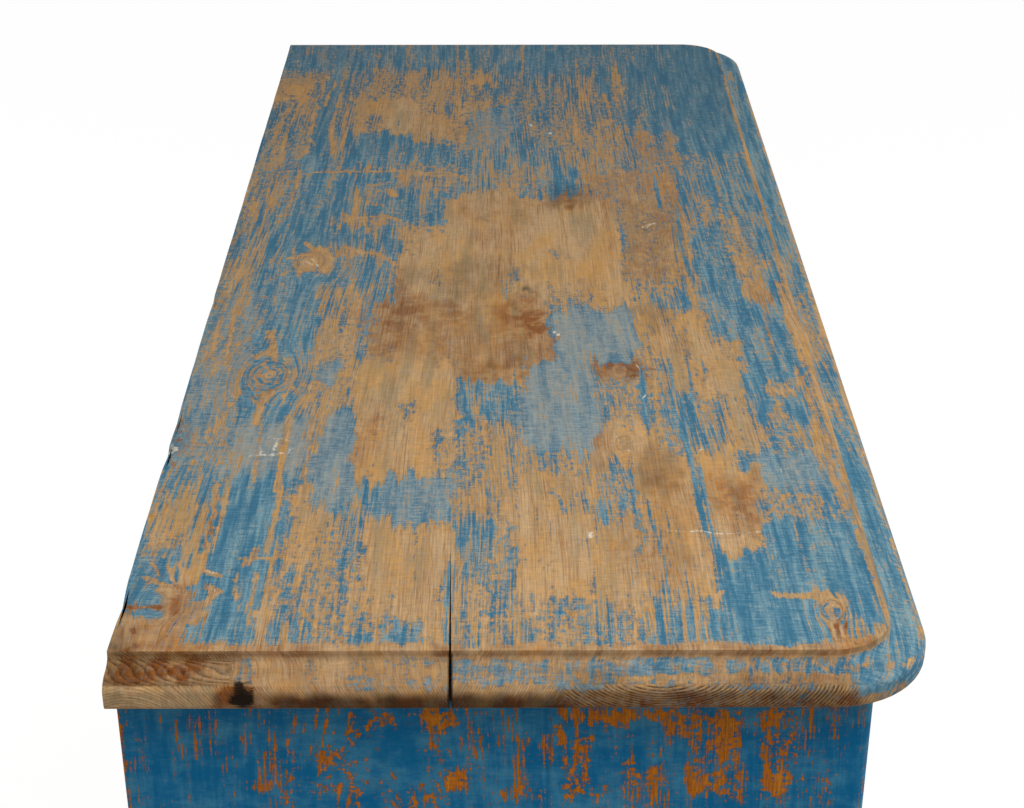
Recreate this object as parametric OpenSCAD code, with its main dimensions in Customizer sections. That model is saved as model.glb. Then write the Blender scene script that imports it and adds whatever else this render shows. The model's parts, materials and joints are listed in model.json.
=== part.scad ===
// Painted pine cupboard: two drawers over two framed and panelled doors, a moulded top with
// rounded front corners, and a plinth on four turned feet. Millimetres, +Z up, front towards -Y.
// The origin is on the floor, under the middle of the top.

/* [Overall] */
// Height from the floor to the top surface
total_height = 920; // [860:5:1000]

/* [Top] */
// Length of the top, end to end
top_length = 1220; // [1100:10:1400]
// Depth of the top, front to back
top_depth = 500; // [450:5:560]
// Thickness of the top boards
top_thickness = 28; // [24:1:34]
// Radius of the two front corners, seen from above
top_corner_radius = 62; // [45:1:80]
// Width of the moulded border
moulding_width = 23; // [18:1:28]
// Height of the small step between the flat field and the moulding
quirk_height = 3; // [2:0.5:4]
// How far the top stands out over the case, at the front and at both ends
overhang = 32; // [31:1:38]
// Width of the rear top board at its left end
rear_board_width = 206; // [150:1:260]
// Width of the rear top board at its right end
rear_board_width_right = 189; // [150:1:260]
// Width of the opened glue joint at the left end
joint_opening = 1.6; // [0.4:0.2:3]
// Length over which the glue joint has opened
joint_opening_length = 840; // [300:10:1000]

/* [Case] */
// Thickness of the side boards
side_thickness = 22; // [18:1:28]
// Radius of the front edge of each side
side_edge_radius = 10; // [5:1:14]
// Width of the front side board; the rear one takes the rest
side_front_board_width = 201; // [150:1:260]
// Gap between the two boards of a side
side_joint_gap = 0.3; // [0.2:0.1:0.8]
// Thickness of the front frame, the doors and the rails
face_thickness = 24; // [20:1:28]
// Width of each front stile
stile_width = 46; // [35:1:60]
// Width of the upright between the openings
muntin_width = 60; // [50:1:80]
// Height of the rail under the top
top_rail_height = 24; // [20:1:32]
// Height of the drawer openings
drawer_opening_height = 140; // [110:5:170]
// Height of the rail between drawers and doors
drawer_rail_height = 28; // [24:1:36]
// Depth of the rail between drawers and doors
drawer_rail_depth = 60; // [50:1:90]
// How far the door stop reaches below that rail
door_stop_height = 8; // [5:1:12]
// Height of the bottom rail
bottom_rail_height = 36; // [30:1:50]
// Thickness of the bottom board
bottom_thickness = 20; // [16:1:24]
// Thickness of the back boards
back_thickness = 12; // [10:1:14]
// How deep the back boards lap into each side
back_rebate = 10; // [6:1:14]
// Gap between neighbouring back boards
back_board_gap = 1; // [0.5:0.5:3]

/* [Shelf] */
// Thickness of the shelf
shelf_thickness = 20; // [16:1:24]
// Height of the shelf's upper face above the floor
shelf_height = 450; // [380:5:520]
// Setback of the shelf's front edge from the front of the case
shelf_setback = 68; // [60:1:120]
// Play at each end of the shelf
shelf_play = 2; // [1:0.5:4]
// Width and height of the battens that carry the shelf
shelf_batten = 20; // [16:1:24]

/* [Plinth and feet] */
// Height of the turned feet
foot_height = 90; // [70:1:110]
// Largest radius of a foot
foot_radius = 38; // [30:1:42]
// Distance from the plinth's outer edges to the centre of a foot
foot_inset = 46; // [43:1:55]
// Radius of the tenon that holds a foot
foot_tenon_radius = 12; // [9:1:14]
// Length of that tenon
foot_tenon_length = 24; // [16:1:25]
// Thickness of the plinth boards
plinth_thickness = 32; // [28:1:40]
// How far the plinth stands out from the case
plinth_projection = 14; // [10:1:20]
// Width of the plinth's front board
plinth_front_width = 72; // [68:1:90]
// Width of the plinth's side boards
plinth_side_width = 92; // [80:1:110]
// Width of the plinth's rear board
plinth_back_width = 60; // [40:1:80]

/* [Doors] */
// Gap around each door and drawer front
front_gap = 2; // [1.5:0.5:3]
// Width of the door stiles
door_stile_width = 72; // [64:1:84]
// Width of the door's top rail
door_top_rail_width = 72; // [60:1:90]
// Width of the door's bottom rail
door_bottom_rail_width = 86; // [70:1:110]
// Depth of the groove that holds the panel
panel_groove_depth = 9; // [7:1:12]
// Width of the groove that holds the panel
panel_groove_width = 8; // [6:0.5:9]
// Play between the panel and the bottom of its groove
panel_play = 1; // [0.5:0.5:3]
// Clearance on each face of the panel's tongue
panel_clearance = 0.3; // [0.2:0.1:0.6]
// Width of the bevel around the raised field
panel_bevel_width = 38; // [25:1:50]
// Height of the little step at the edge of the raised field
panel_step = 1.6; // [1:0.2:2.4]
// How far the raised field lies behind the front of the door
panel_setback = 2; // [1:0.5:4]
// Thickness of the tenons on the door rails
door_tenon_thickness = 8; // [6:0.5:9]
// Length of the tenons on the door rails
door_tenon_length = 52; // [40:1:60]
// Shoulder above and below each tenon
door_tenon_shoulder = 12; // [10:1:16]
// Radius of the wooden pegs through the tenons
peg_radius = 3.6; // [3:0.2:5]
// Distance from a peg to the shoulder of its joint
peg_setback = 22; // [15:1:30]

/* [Hinges] */
// Height of each hinge
hinge_height = 64; // [50:1:80]
// Distance from the end of the door to the nearer end of a hinge
hinge_inset = 62; // [50:1:100]
// Radius of the hinge barrel
hinge_barrel_radius = 4; // [3.5:0.5:4.5]
// Radius of the hinge pin
hinge_pin_radius = 1.8; // [1.5:0.1:2.2]
// Clearance between the pin and the turning knuckle
hinge_clearance = 0.06; // [0.04:0.01:0.1]
// Gap between the knuckles
knuckle_gap = 0.3; // [0.2:0.1:0.6]
// Thickness of the hinge leaves
leaf_thickness = 1.5; // [1.2:0.1:1.8]
// Depth of the hinge leaves
leaf_depth = 20; // [16:1:22]
// Radius of the finials on the hinge pin
finial_radius = 3.4; // [3:0.1:4]

/* [Locks] */
// Height of the keyholes above the middle of the door
keyhole_rise = 30; // [0:5:80]
// Width of the lock case
lock_case_width = 62; // [54:1:64]
// Height of the lock case above the keyhole
lock_case_above = 20; // [18.5:0.5:26]
// Height of the lock case below the keyhole
lock_case_below = 14; // [12:1:20]
// Depth of the lock case
lock_case_depth = 13; // [12:0.5:16]
// Sheet thickness of the lock case
lock_wall = 1.5; // [1:0.1:1.8]
// Distance from the lock case to the edge of the door
lock_case_inset = 3; // [1:0.5:6]
// Height of the bolt
bolt_height = 10; // [8:0.5:11]
// Thickness of the bolt
bolt_thickness = 8; // [6:0.5:8.5]
// Length of the bolt
bolt_length = 54; // [46:1:56]
// Travel of the bolt
bolt_throw = 12; // [9:0.5:14]
// Clearance around the bolt and behind the keyhole
lock_clearance = 0.3; // [0.2:0.1:0.6]
// Reach of the key's bit from its axis
key_bit_reach = 9; // [8:0.5:10]
// Thickness of the key's bit
key_bit_thickness = 3; // [2:0.5:3.5]
// Length of the key's bit along the shank
key_bit_length = 6; // [4:0.5:7]
// Radius of the key's shank
key_shank_radius = 3; // [2.5:0.1:3.4]
// Outer radius of the key's bow
key_bow_radius = 11; // [9:0.5:12]
// Width of the ring that forms the bow
key_bow_ring = 3.6; // [3:0.2:5]
// Thickness of the bow
key_bow_thickness = 3.6; // [3:0.2:5]
// Gap between the escutcheon and the bow
key_bow_standoff = 6; // [3:0.5:7]
// Half the width of the escutcheon
escutcheon_radius = 13; // [11:1:15]
// Distance between the centres of the escutcheon's round ends
escutcheon_span = 22; // [16:1:30]
// Thickness of the escutcheon
escutcheon_thickness = 1.2; // [0.8:0.1:2]

/* [Drawers] */
// Thickness of the drawer fronts
drawer_front_thickness = 22; // [20:1:24]
// Thickness of the drawer sides and backs
drawer_side_thickness = 12; // [10:1:14]
// Space between a shut drawer and the back boards
drawer_back_space = 34; // [10:1:80]
// Play between the drawer sides and the kickers over them
drawer_side_play = 4; // [2:0.5:8]
// Thickness of the drawer bottoms
drawer_bottom_thickness = 8; // [6:1:10]
// Depth of the groove for the drawer bottom
drawer_groove_depth = 6; // [4:0.5:8]
// Height of that groove above the lower edge of the drawer side
drawer_groove_rise = 12; // [9:1:16]
// Clearance above and below the drawer bottom in its groove
drawer_groove_clearance = 0.2; // [0.1:0.1:0.4]
// Clearance between the drawers and their runners and guides
drawer_clearance = 0.3; // [0.2:0.1:0.8]
// Number of dovetails at each front corner
tail_count = 3; // [2:1:4]
// Length of the dovetails
tail_length = 16; // [12:1:17]
// Half the height of a dovetail at its root
tail_root = 8; // [6:0.5:9]
// Half the height of a dovetail at its tip
tail_tip = 11; // [9:0.5:11.5]
// Thickness of the drawer runners
runner_thickness = 20; // [16:1:24]
// How far the runners reach under the drawer sides
runner_ledge = 22; // [16:1:30]
// Height of the guides beside the drawers
guide_height = 20; // [14:1:26]
// Height of the stops behind the drawer fronts
drawer_stop_height = 7; // [4:1:8]
// Length and depth of those stops
drawer_stop_size = 24; // [16:1:28]
// Distance of the stops from the ends of the drawer openings
drawer_stop_inset = 60; // [30:5:120]
// Largest radius of the drawer knobs
knob_radius = 16; // [12:1:20]
// How far the knobs stand out from the drawer fronts
knob_projection = 28; // [24:1:30]
// Radius of the knob's tenon
knob_tenon_radius = 6; // [5:0.5:8]
// Clearance around the turned tenons and the pegs
tenon_clearance = 0.05; // [0.03:0.01:0.1]

/* [Hidden] */
$fn = 64;

// Colours
paint_blue = [0.16, 0.40, 0.56];
worn_blue = [0.30, 0.46, 0.55];
bare_pine = [0.76, 0.56, 0.34];
dark_iron = [0.22, 0.21, 0.20];
old_brass = [0.66, 0.52, 0.26];

// Small amount by which a cutting shape passes the face that it cuts
cut = 1;
// Profile steps of a curved moulding
arc_steps = 8;

// Case planes
case_front = -top_depth / 2 + overhang;
case_back = top_depth / 2;
case_half = top_length / 2 - overhang;
inner_half = case_half - side_thickness;
case_low = foot_height + plinth_thickness;
case_high = total_height - top_thickness;
face_rear = case_front + face_thickness;
back_front = case_back - back_thickness;

// Front openings
opening_outer = inner_half - stile_width;
opening_inner = muntin_width / 2;
drawer_opening_high = case_high - top_rail_height;
drawer_opening_low = drawer_opening_high - drawer_opening_height;
door_opening_high = drawer_opening_low - drawer_rail_height;
door_opening_low = case_low + bottom_rail_height;

// Left door
door_outer = -opening_outer + front_gap;
door_inner = -opening_inner - front_gap;
door_low = door_opening_low + front_gap;
door_high = door_opening_high - front_gap;
groove_front = case_front + (face_thickness - panel_groove_width) / 2;
tenon_front = case_front + (face_thickness - door_tenon_thickness) / 2;
rail_left = door_outer + door_stile_width;
rail_right = door_inner - door_stile_width;

// Hinge axis: in the middle of the gap, the barrel just clear of the front
hinge_x = -opening_outer + front_gap / 2;
hinge_y = case_front - hinge_barrel_radius - knuckle_gap;
knuckle_length = (hinge_height - 2 * knuckle_gap) / 3;
hinge_lows = [door_low + hinge_inset, door_high - hinge_inset - hinge_height];

// Lock of the left door
key_x = door_inner - door_stile_width / 2;
key_z = (door_low + door_high) / 2 + keyhole_rise;
lock_right = door_inner - lock_case_inset;
lock_left = lock_right - lock_case_width;
lock_rear = face_rear + lock_case_depth;
bolt_low = key_z + key_bit_reach * 2 / 3;
bolt_front = face_rear + lock_wall + lock_clearance;
bolt_right = lock_right - lock_clearance;
bit_corner = sqrt(pow(key_bit_reach, 2) + pow(key_bit_thickness / 2, 2));
notch_half = sqrt(pow(bit_corner, 2) - pow(bolt_low - key_z, 2)) - lock_clearance;
bow_y = case_front - escutcheon_thickness - key_bow_standoff - key_bow_radius;
bit_rear = lock_rear - lock_wall - lock_clearance;
keyhole_radius = key_shank_radius + lock_clearance;
keyhole_slot = key_bit_thickness / 2 + lock_clearance;

// Left drawer
drawer_low = drawer_opening_low + drawer_clearance;
drawer_outer = -opening_outer + front_gap;
drawer_inner = -opening_inner - front_gap;
drawer_rear = back_front - drawer_back_space;
front_rear = case_front + drawer_front_thickness;
drawer_side_height = drawer_opening_high - drawer_side_play - drawer_low;
drawer_bottom_low = drawer_low + drawer_groove_rise;
drawer_bottom_high = drawer_bottom_low + drawer_bottom_thickness;
drawer_stop_xs = [
    drawer_outer + drawer_stop_inset, drawer_inner - drawer_stop_inset - drawer_stop_size
];
knob_x = (drawer_outer + drawer_inner) / 2;
knob_z = (drawer_opening_low + drawer_opening_high) / 2;

// Plinth and feet
plinth_half = case_half + plinth_projection;
plinth_edge = case_front - plinth_projection;
foot_x = plinth_half - foot_inset;
foot_ys = [plinth_edge + foot_inset, case_back - foot_inset];

// A rectangular block between two corners
module block(low, high) {
    translate(low) cube(high - low);
}

// Draws the left-hand piece, or its mirror image for the right
module hand(side) {
    if (side == "left") children();
    else mirror([1, 0, 0]) children();
}

// A cylinder along Y between two planes
module rod_y(x, z, radius, from, to) {
    translate([x, from, z]) rotate([-90, 0, 0]) cylinder(r = radius, h = to - from);
}

// Profile of the top's edge: outwards from the field's edge, and up from the underside.
// A step, a hollow, a rounded nose and a rounded lower arris.
function top_profile(width, thickness, root) =
    let (
        hollow = width * 0.45,
        hollow_drop = 5,
        nose_drop = 7,
        arris = 5,
        step_low = thickness - quirk_height
    )
    concat(
        [[-root, 0], [-root, thickness], [0, thickness]],
        [for (i = [0 : arc_steps]) let (a = 90 * i / arc_steps)
            [hollow * (1 - cos(a)), step_low - hollow_drop * sin(a)]],
        [for (i = [1 : arc_steps]) let (a = 90 * i / arc_steps)
            [hollow + (width - hollow) * sin(a),
             step_low - hollow_drop - nose_drop * (1 - cos(a))]],
        [for (i = [0 : arc_steps]) let (a = 90 * i / arc_steps)
            [width - arris * (1 - cos(a)), arris * (1 - sin(a))]]
    );

// Profile of the plinth's edge: a flat below and a quarter round above
function plinth_profile(width, thickness, root) =
    let (round_height = 12)
    concat(
        [[-root, 0], [-root, thickness]],
        [for (i = [0 : arc_steps]) let (a = 90 * i / arc_steps)
            [width * sin(a), thickness - round_height * (1 - cos(a))]],
        [[width, 0]]
    );

// A slab with square rear corners, and an edge profile round the front and both ends.
// The profile runs from the line that lies edge_width inside the outline.
module moulded_slab(half_length, front, back, thickness, radius, edge_width, profile) {
    core_radius = radius - edge_width;
    run_back = back - (front + radius);
    linear_extrude(thickness) union() {
        translate([-(half_length - radius), front + edge_width])
            square([2 * (half_length - radius), back - front - edge_width]);
        translate([-(half_length - edge_width), front + radius])
            square([2 * (half_length - edge_width), run_back]);
        for (s = [-1, 1])
            translate([s * (half_length - radius), front + radius]) circle(r = core_radius);
    }
    translate([-(half_length - radius), front + edge_width, 0])
        rotate([90, 0, 90]) mirror([1, 0, 0])
            linear_extrude(2 * (half_length - radius)) polygon(profile);
    for (s = [0, 1]) mirror([s, 0, 0]) {
        translate([half_length - edge_width, back, 0])
            rotate([90, 0, 0]) linear_extrude(run_back) polygon(profile);
        translate([half_length - radius, front + radius, 0])
            rotate([0, 0, -90]) rotate_extrude(angle = 90)
                translate([core_radius, 0]) polygon(profile);
    }
}

module whole_top() {
    root = (top_corner_radius - moulding_width) / 2;
    translate([0, 0, case_high])
        moulded_slab(top_length / 2, -top_depth / 2, case_back, top_thickness,
            top_corner_radius, moulding_width,
            top_profile(moulding_width, top_thickness, root));
}

// The glue joint between the top boards runs slightly askew, as the boards taper
joint_left = case_back - rear_board_width;
joint_right = case_back - rear_board_width_right;
function joint_y(x) =
    joint_left + (joint_right - joint_left) * (x + top_length / 2) / top_length;

// The part of the top that lies inside an outline seen from above
module top_within(outline) {
    intersection() {
        whole_top();
        translate([0, 0, case_high - cut]) linear_extrude(top_thickness + 2 * cut)
            polygon(outline);
    }
}

module top_rear_board() {
    left = -top_length / 2 - cut;
    right = top_length / 2 + cut;
    color(worn_blue) top_within([
        [left, joint_y(left)], [right, joint_y(right)], [right, case_back + cut],
        [left, case_back + cut]
    ]);
}

// The front board ends in the glue joint, which has opened towards the left end
module top_front_board() {
    left = -top_length / 2 - cut;
    right = top_length / 2 + cut;
    closed = -top_length / 2 + joint_opening_length;
    color(worn_blue) top_within([
        [left, -top_depth], [right, -top_depth], [right, joint_y(right)],
        [closed, joint_y(closed)], [left, joint_y(left) - joint_opening]
    ]);
}

// The front board of a side reaches the front of the case, with its outer arris rounded
module side_front_board(side) {
    rear = case_front + side_front_board_width;
    color(paint_blue) hand(side)
        translate([0, 0, case_low]) linear_extrude(case_high - case_low) union() {
            translate([-case_half + side_edge_radius, case_front])
                square([side_thickness - side_edge_radius, side_front_board_width]);
            translate([-case_half, case_front + side_edge_radius])
                square([side_thickness, rear - case_front - side_edge_radius]);
            translate([-case_half + side_edge_radius, case_front + side_edge_radius])
                circle(r = side_edge_radius);
        }
}

// The rear board of a side, rebated for the back boards
module side_rear_board(side) {
    front = case_front + side_front_board_width + side_joint_gap;
    color(paint_blue) hand(side) difference() {
        block([-case_half, front, case_low], [-inner_half, case_back, case_high]);
        block([-inner_half - back_rebate, back_front, case_low - cut],
            [-inner_half + cut, case_back + cut, case_high + cut]);
    }
}

// The leaf seats are cut into the stile's inner edge
module stile(side) {
    color(paint_blue) hand(side) difference() {
        block([-inner_half, case_front, case_low], [-opening_outer, face_rear, case_high]);
        for (low = hinge_lows)
            block([-opening_outer - leaf_thickness, case_front - cut, low],
                [-opening_outer + cut, case_front + leaf_depth, low + hinge_height]);
    }
}

module top_rail() {
    color(paint_blue)
        block([-opening_outer, case_front, drawer_opening_high],
            [opening_outer, face_rear, case_high]);
}

// The rail that the drawers run over, with the doors' stop below its rear part
module drawer_rail() {
    color(paint_blue) union() {
        block([-opening_outer, case_front, door_opening_high],
            [opening_outer, case_front + drawer_rail_depth, drawer_opening_low]);
        for (s = [0, 1]) mirror([s, 0, 0])
            block([-opening_outer, face_rear + drawer_clearance,
                    door_opening_high - door_stop_height],
                [-opening_inner, case_front + drawer_rail_depth,
                    door_opening_high + cut]);
    }
}

module bottom_rail() {
    color(paint_blue)
        block([-opening_outer, case_front, case_low],
            [opening_outer, face_rear, door_opening_low]);
}

module drawer_muntin() {
    color(paint_blue)
        block([-opening_inner, case_front, drawer_opening_low],
            [opening_inner, face_rear, drawer_opening_high]);
}

module door_muntin() {
    color(paint_blue)
        block([-opening_inner, case_front, door_opening_low],
            [opening_inner, face_rear, door_opening_high]);
}

// Five upright boards in the rebates of the sides
module back_boards() {
    count = 5;
    span = 2 * (inner_half + back_rebate);
    width = (span - (count - 1) * back_board_gap) / count;
    color(bare_pine) for (i = [0 : count - 1]) {
        left = -span / 2 + i * (width + back_board_gap);
        block([left, back_front, case_low], [left + width, case_back, case_high]);
    }
}

module bottom_board() {
    color(bare_pine)
        block([-inner_half, face_rear, case_low],
            [inner_half, back_front, case_low + bottom_thickness]);
}

module shelf() {
    color(bare_pine)
        block([-inner_half + shelf_play, case_front + shelf_setback,
                shelf_height - shelf_thickness],
            [inner_half - shelf_play, back_front - shelf_play, shelf_height]);
}

module shelf_battens() {
    high = shelf_height - shelf_thickness;
    color(bare_pine) for (s = [0, 1]) mirror([s, 0, 0])
        block([-inner_half, case_front + shelf_setback, high - shelf_batten],
            [-inner_half + shelf_batten, back_front, high]);
}

// Ledges under the drawer sides, each with the guide that stands on it, and the stops
// on the rail that the drawer fronts come to rest against
module drawer_runners() {
    low = drawer_opening_low - runner_thickness;
    high = drawer_opening_low;
    front = case_front + drawer_rail_depth;
    guide_out = opening_outer - drawer_clearance + front_gap;
    guide_in = opening_inner + front_gap - drawer_clearance;
    color(bare_pine) {
        for (s = [0, 1]) mirror([s, 0, 0]) union() {
            block([-inner_half, front, low], [-opening_outer + runner_ledge, back_front, high]);
            block([-inner_half, face_rear, high],
                [-opening_outer + front_gap - drawer_clearance, back_front,
                    high + guide_height]);
        }
        union() {
            block([-opening_inner - runner_ledge, front, low],
                [opening_inner + runner_ledge, back_front, high]);
            block([-guide_in, face_rear, high], [guide_in, back_front, high + guide_height]);
        }
        for (s = [0, 1], x = drawer_stop_xs) mirror([s, 0, 0])
            block([x, front_rear + drawer_clearance, high],
                [x + drawer_stop_size, front_rear + drawer_clearance + drawer_stop_size,
                    high + drawer_stop_height]);
    }
}

// Strips under the top that keep an open drawer from tipping
module kickers() {
    color(bare_pine) {
        for (s = [0, 1]) mirror([s, 0, 0])
            block([-inner_half, face_rear, drawer_opening_high],
                [-opening_outer + runner_ledge, back_front, case_high]);
        block([-opening_inner - runner_ledge, face_rear, drawer_opening_high],
            [opening_inner + runner_ledge, back_front, case_high]);
    }
}

module whole_plinth() {
    radius = side_edge_radius + plinth_projection;
    translate([0, 0, foot_height])
        moulded_slab(plinth_half, plinth_edge, case_back, plinth_thickness, radius,
            plinth_projection,
            plinth_profile(plinth_projection, plinth_thickness, side_edge_radius / 2));
}

// Blind bore for the tenon of a foot
module foot_bore(x, y) {
    translate([x, y, foot_height - cut])
        cylinder(r = foot_tenon_radius + tenon_clearance, h = foot_tenon_length + 2 * cut);
}

module plinth_front() {
    color(paint_blue) difference() {
        intersection() {
            whole_plinth();
            block([-top_length, plinth_edge - cut, foot_height - cut],
                [top_length, plinth_edge + plinth_front_width, case_low + cut]);
        }
        for (s = [-1, 1]) foot_bore(s * foot_x, foot_ys[0]);
    }
}

module plinth_side(side) {
    color(paint_blue) hand(side) difference() {
        intersection() {
            whole_plinth();
            block([-plinth_half - cut, plinth_edge + plinth_front_width, foot_height - cut],
                [-plinth_half + plinth_side_width, case_back + cut, case_low + cut]);
        }
        foot_bore(-foot_x, foot_ys[1]);
    }
}

module plinth_back() {
    half = plinth_half - plinth_side_width;
    color(bare_pine)
        block([-half, case_back - plinth_back_width, foot_height],
            [half, case_back, case_low]);
}

// A turned foot: a bun between two fillets under a narrow neck, with its tenon
module foot() {
    pad_radius = foot_radius - 12;
    pad_height = 6;
    neck_radius = foot_radius - 14;
    neck_height = 12;
    collar_radius = foot_radius - 4;
    collar_height = 9;
    bun_low = pad_height;
    bun_high = foot_height - neck_height - collar_height;
    bun_middle = (bun_low + bun_high) / 2;
    bun_half = (bun_high - bun_low) / 2;
    rotate_extrude() polygon(concat(
        [[0, 0], [pad_radius, 0], [pad_radius, pad_height]],
        [for (i = [0 : 2 * arc_steps]) let (a = -90 + 90 * i / arc_steps)
            [pad_radius + (foot_radius - pad_radius) * cos(a), bun_middle + bun_half * sin(a)]],
        [for (i = [0 : arc_steps]) let (a = 90 * i / arc_steps)
            [pad_radius - (pad_radius - neck_radius) * sin(a), bun_high + neck_height * i / arc_steps]],
        [[collar_radius, foot_height - collar_height], [collar_radius, foot_height],
         [foot_tenon_radius, foot_height], [foot_tenon_radius, foot_height + foot_tenon_length],
         [0, foot_height + foot_tenon_length]]
    ));
}

module turned_feet() {
    color(paint_blue) for (s = [-1, 1], y = foot_ys) translate([s * foot_x, y, 0]) foot();
}

// One knuckle of a hinge, with the web that joins it to its leaf
module knuckle(low, leaf_left, bore_radius) {
    difference() {
        union() {
            translate([hinge_x, hinge_y, low])
                cylinder(r = hinge_barrel_radius, h = knuckle_length);
            block([leaf_left, hinge_y, low],
                [leaf_left + leaf_thickness, case_front + cut, low + knuckle_length]);
        }
        translate([hinge_x, hinge_y, low - cut])
            cylinder(r = bore_radius, h = knuckle_length + 2 * cut);
    }
}

// The leaf plate lies in its seat, behind the front of the case
module leaf_plate(low, leaf_left) {
    block([leaf_left, case_front, low],
        [leaf_left + leaf_thickness, case_front + leaf_depth, low + hinge_height]);
}

// Leaves on the case, two knuckles each, and the pins, which are fixed in them
module case_hinges(side) {
    left = -opening_outer - leaf_thickness;
    color(dark_iron) hand(side) for (low = hinge_lows) {
        union() {
            leaf_plate(low, left);
            knuckle(low, left, hinge_pin_radius + hinge_clearance);
            knuckle(low + 2 * (knuckle_length + knuckle_gap), left,
                hinge_pin_radius + hinge_clearance);
        }
        translate([hinge_x, hinge_y, low]) union() {
            cylinder(r = hinge_pin_radius, h = hinge_height);
            translate([0, 0, hinge_height]) finial();
            mirror([0, 0, 1]) finial();
        }
    }
}

// Button on the end of a hinge pin, turned with a small neck
module finial() {
    rotate_extrude() polygon(concat(
        [[0, 0], [hinge_pin_radius, 0], [hinge_pin_radius, knuckle_gap]],
        [for (i = [0 : arc_steps]) let (a = -60 + 150 * i / arc_steps)
            [max(0, finial_radius * cos(a)), knuckle_gap + finial_radius * (sin(a) + sin(60))]]
    ));
}

module door_hinge_leaves(side) {
    left = door_outer;
    color(dark_iron) hand(side) for (low = hinge_lows) union() {
        leaf_plate(low, left);
        knuckle(low + knuckle_length + knuckle_gap, left, hinge_pin_radius + hinge_clearance);
    }
}

// Groove for the panel along a door member, in the plane of the panel
module panel_groove(low_x, high_x, low_z, high_z) {
    block([low_x, groove_front, low_z], [high_x, groove_front + panel_groove_width, high_z]);
}

// Heights of a door rail, and of the tenon that lies between its shoulders
function rail_low(which) = which == "top" ? door_high - door_top_rail_width : door_low;
function rail_high(which) = which == "top" ? door_high : door_low + door_bottom_rail_width;
function tenon_low(which) = rail_low(which) + door_tenon_shoulder;
function tenon_high(which) = rail_high(which) - door_tenon_shoulder;
function peg_z(which) = (rail_low(which) + rail_high(which)) / 2;
peg_xs = [rail_left - peg_setback, rail_right + peg_setback];

module peg_holes() {
    for (x = peg_xs, which = ["top", "bottom"])
        rod_y(x, peg_z(which), peg_radius + tenon_clearance, case_front - cut, face_rear + cut);
}

module mortises(low_x, high_x) {
    for (which = ["top", "bottom"])
        block([low_x, tenon_front, tenon_low(which)],
            [high_x, tenon_front + door_tenon_thickness, tenon_high(which)]);
}

module door_hinge_stile(side) {
    color(paint_blue) hand(side) difference() {
        block([door_outer, case_front, door_low], [rail_left, face_rear, door_high]);
        panel_groove(rail_left - panel_groove_depth, rail_left + cut,
            rail_high("bottom") - panel_groove_depth, rail_low("top") + panel_groove_depth);
        mortises(rail_left - door_tenon_length, rail_left + cut);
        peg_holes();
        for (low = hinge_lows)
            block([door_outer - cut, case_front - cut, low],
                [door_outer + leaf_thickness, case_front + leaf_depth, low + hinge_height]);
    }
}

// The keyhole's outline: a round hole with a slot below it for the bit
module keyhole(from, to) {
    rod_y(key_x, key_z, keyhole_radius, from, to);
    block([key_x - keyhole_slot, from, key_z - key_bit_reach - lock_clearance],
        [key_x + keyhole_slot, to, key_z]);
}

module door_lock_stile(side) {
    color(paint_blue) hand(side) difference() {
        block([rail_right, case_front, door_low], [door_inner, face_rear, door_high]);
        panel_groove(rail_right - cut, rail_right + panel_groove_depth,
            rail_high("bottom") - panel_groove_depth, rail_low("top") + panel_groove_depth);
        mortises(rail_right - cut, rail_right + door_tenon_length);
        peg_holes();
        keyhole(case_front - cut, face_rear + cut);
    }
}

module door_rail(side, which) {
    groove_low = which == "top" ? rail_low(which) - cut : rail_high(which) - panel_groove_depth;
    groove_high = which == "top" ? rail_low(which) + panel_groove_depth : rail_high(which) + cut;
    color(paint_blue) hand(side) difference() {
        union() {
            block([rail_left, case_front, rail_low(which)],
                [rail_right, face_rear, rail_high(which)]);
            block([rail_left - door_tenon_length, tenon_front, tenon_low(which)],
                [rail_right + door_tenon_length, tenon_front + door_tenon_thickness,
                    tenon_high(which)]);
        }
        panel_groove(rail_left, rail_right, groove_low, groove_high);
        peg_holes();
    }
}

// Cross-section that the bevel takes off the panel: across from its edge, and back from its face
function bevel_section(tongue_depth) = [
    [-cut, -cut], [panel_bevel_width, -cut], [panel_bevel_width, panel_step],
    [panel_groove_depth, tongue_depth], [-cut, tongue_depth]
];

// A raised and fielded panel, loose in its grooves
module door_panel(side) {
    reach = panel_groove_depth - panel_play;
    left = rail_left - reach;
    right = rail_right + reach;
    low = rail_high("bottom") - reach;
    high = rail_low("top") + reach;
    front = case_front + panel_setback;
    rear = groove_front + panel_groove_width - panel_clearance;
    section = bevel_section(groove_front + panel_clearance - front);
    color(paint_blue) hand(side) difference() {
        block([left, front, low], [right, rear, high]);
        translate([left, front, low - cut]) linear_extrude(high - low + 2 * cut)
            polygon(section);
        translate([right, front, low - cut]) mirror([1, 0, 0])
            linear_extrude(high - low + 2 * cut) polygon(section);
        translate([left - cut, front, low]) rotate([90, 0, 90])
            linear_extrude(right - left + 2 * cut) mirror([1, -1]) polygon(section);
        translate([left - cut, front, high]) rotate([90, 0, 90]) mirror([0, 1, 0])
            linear_extrude(right - left + 2 * cut) mirror([1, -1]) polygon(section);
    }
}

module door_pegs(side) {
    color(bare_pine) hand(side) for (x = peg_xs, which = ["top", "bottom"])
        rod_y(x, peg_z(which), peg_radius, case_front, face_rear);
}

// An upright plate with round ends, pierced by the keyhole
module escutcheon(side) {
    front = case_front - escutcheon_thickness;
    drop = key_bit_reach / 2;
    color(old_brass) hand(side) difference() {
        union() {
            for (s = [-1, 1])
                rod_y(key_x, key_z - drop + s * escutcheon_span / 2, escutcheon_radius,
                    front, case_front);
            block([key_x - escutcheon_radius, front, key_z - drop - escutcheon_span / 2],
                [key_x + escutcheon_radius, case_front, key_z - drop + escutcheon_span / 2]);
        }
        keyhole(front - cut, case_front + cut);
    }
}

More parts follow.
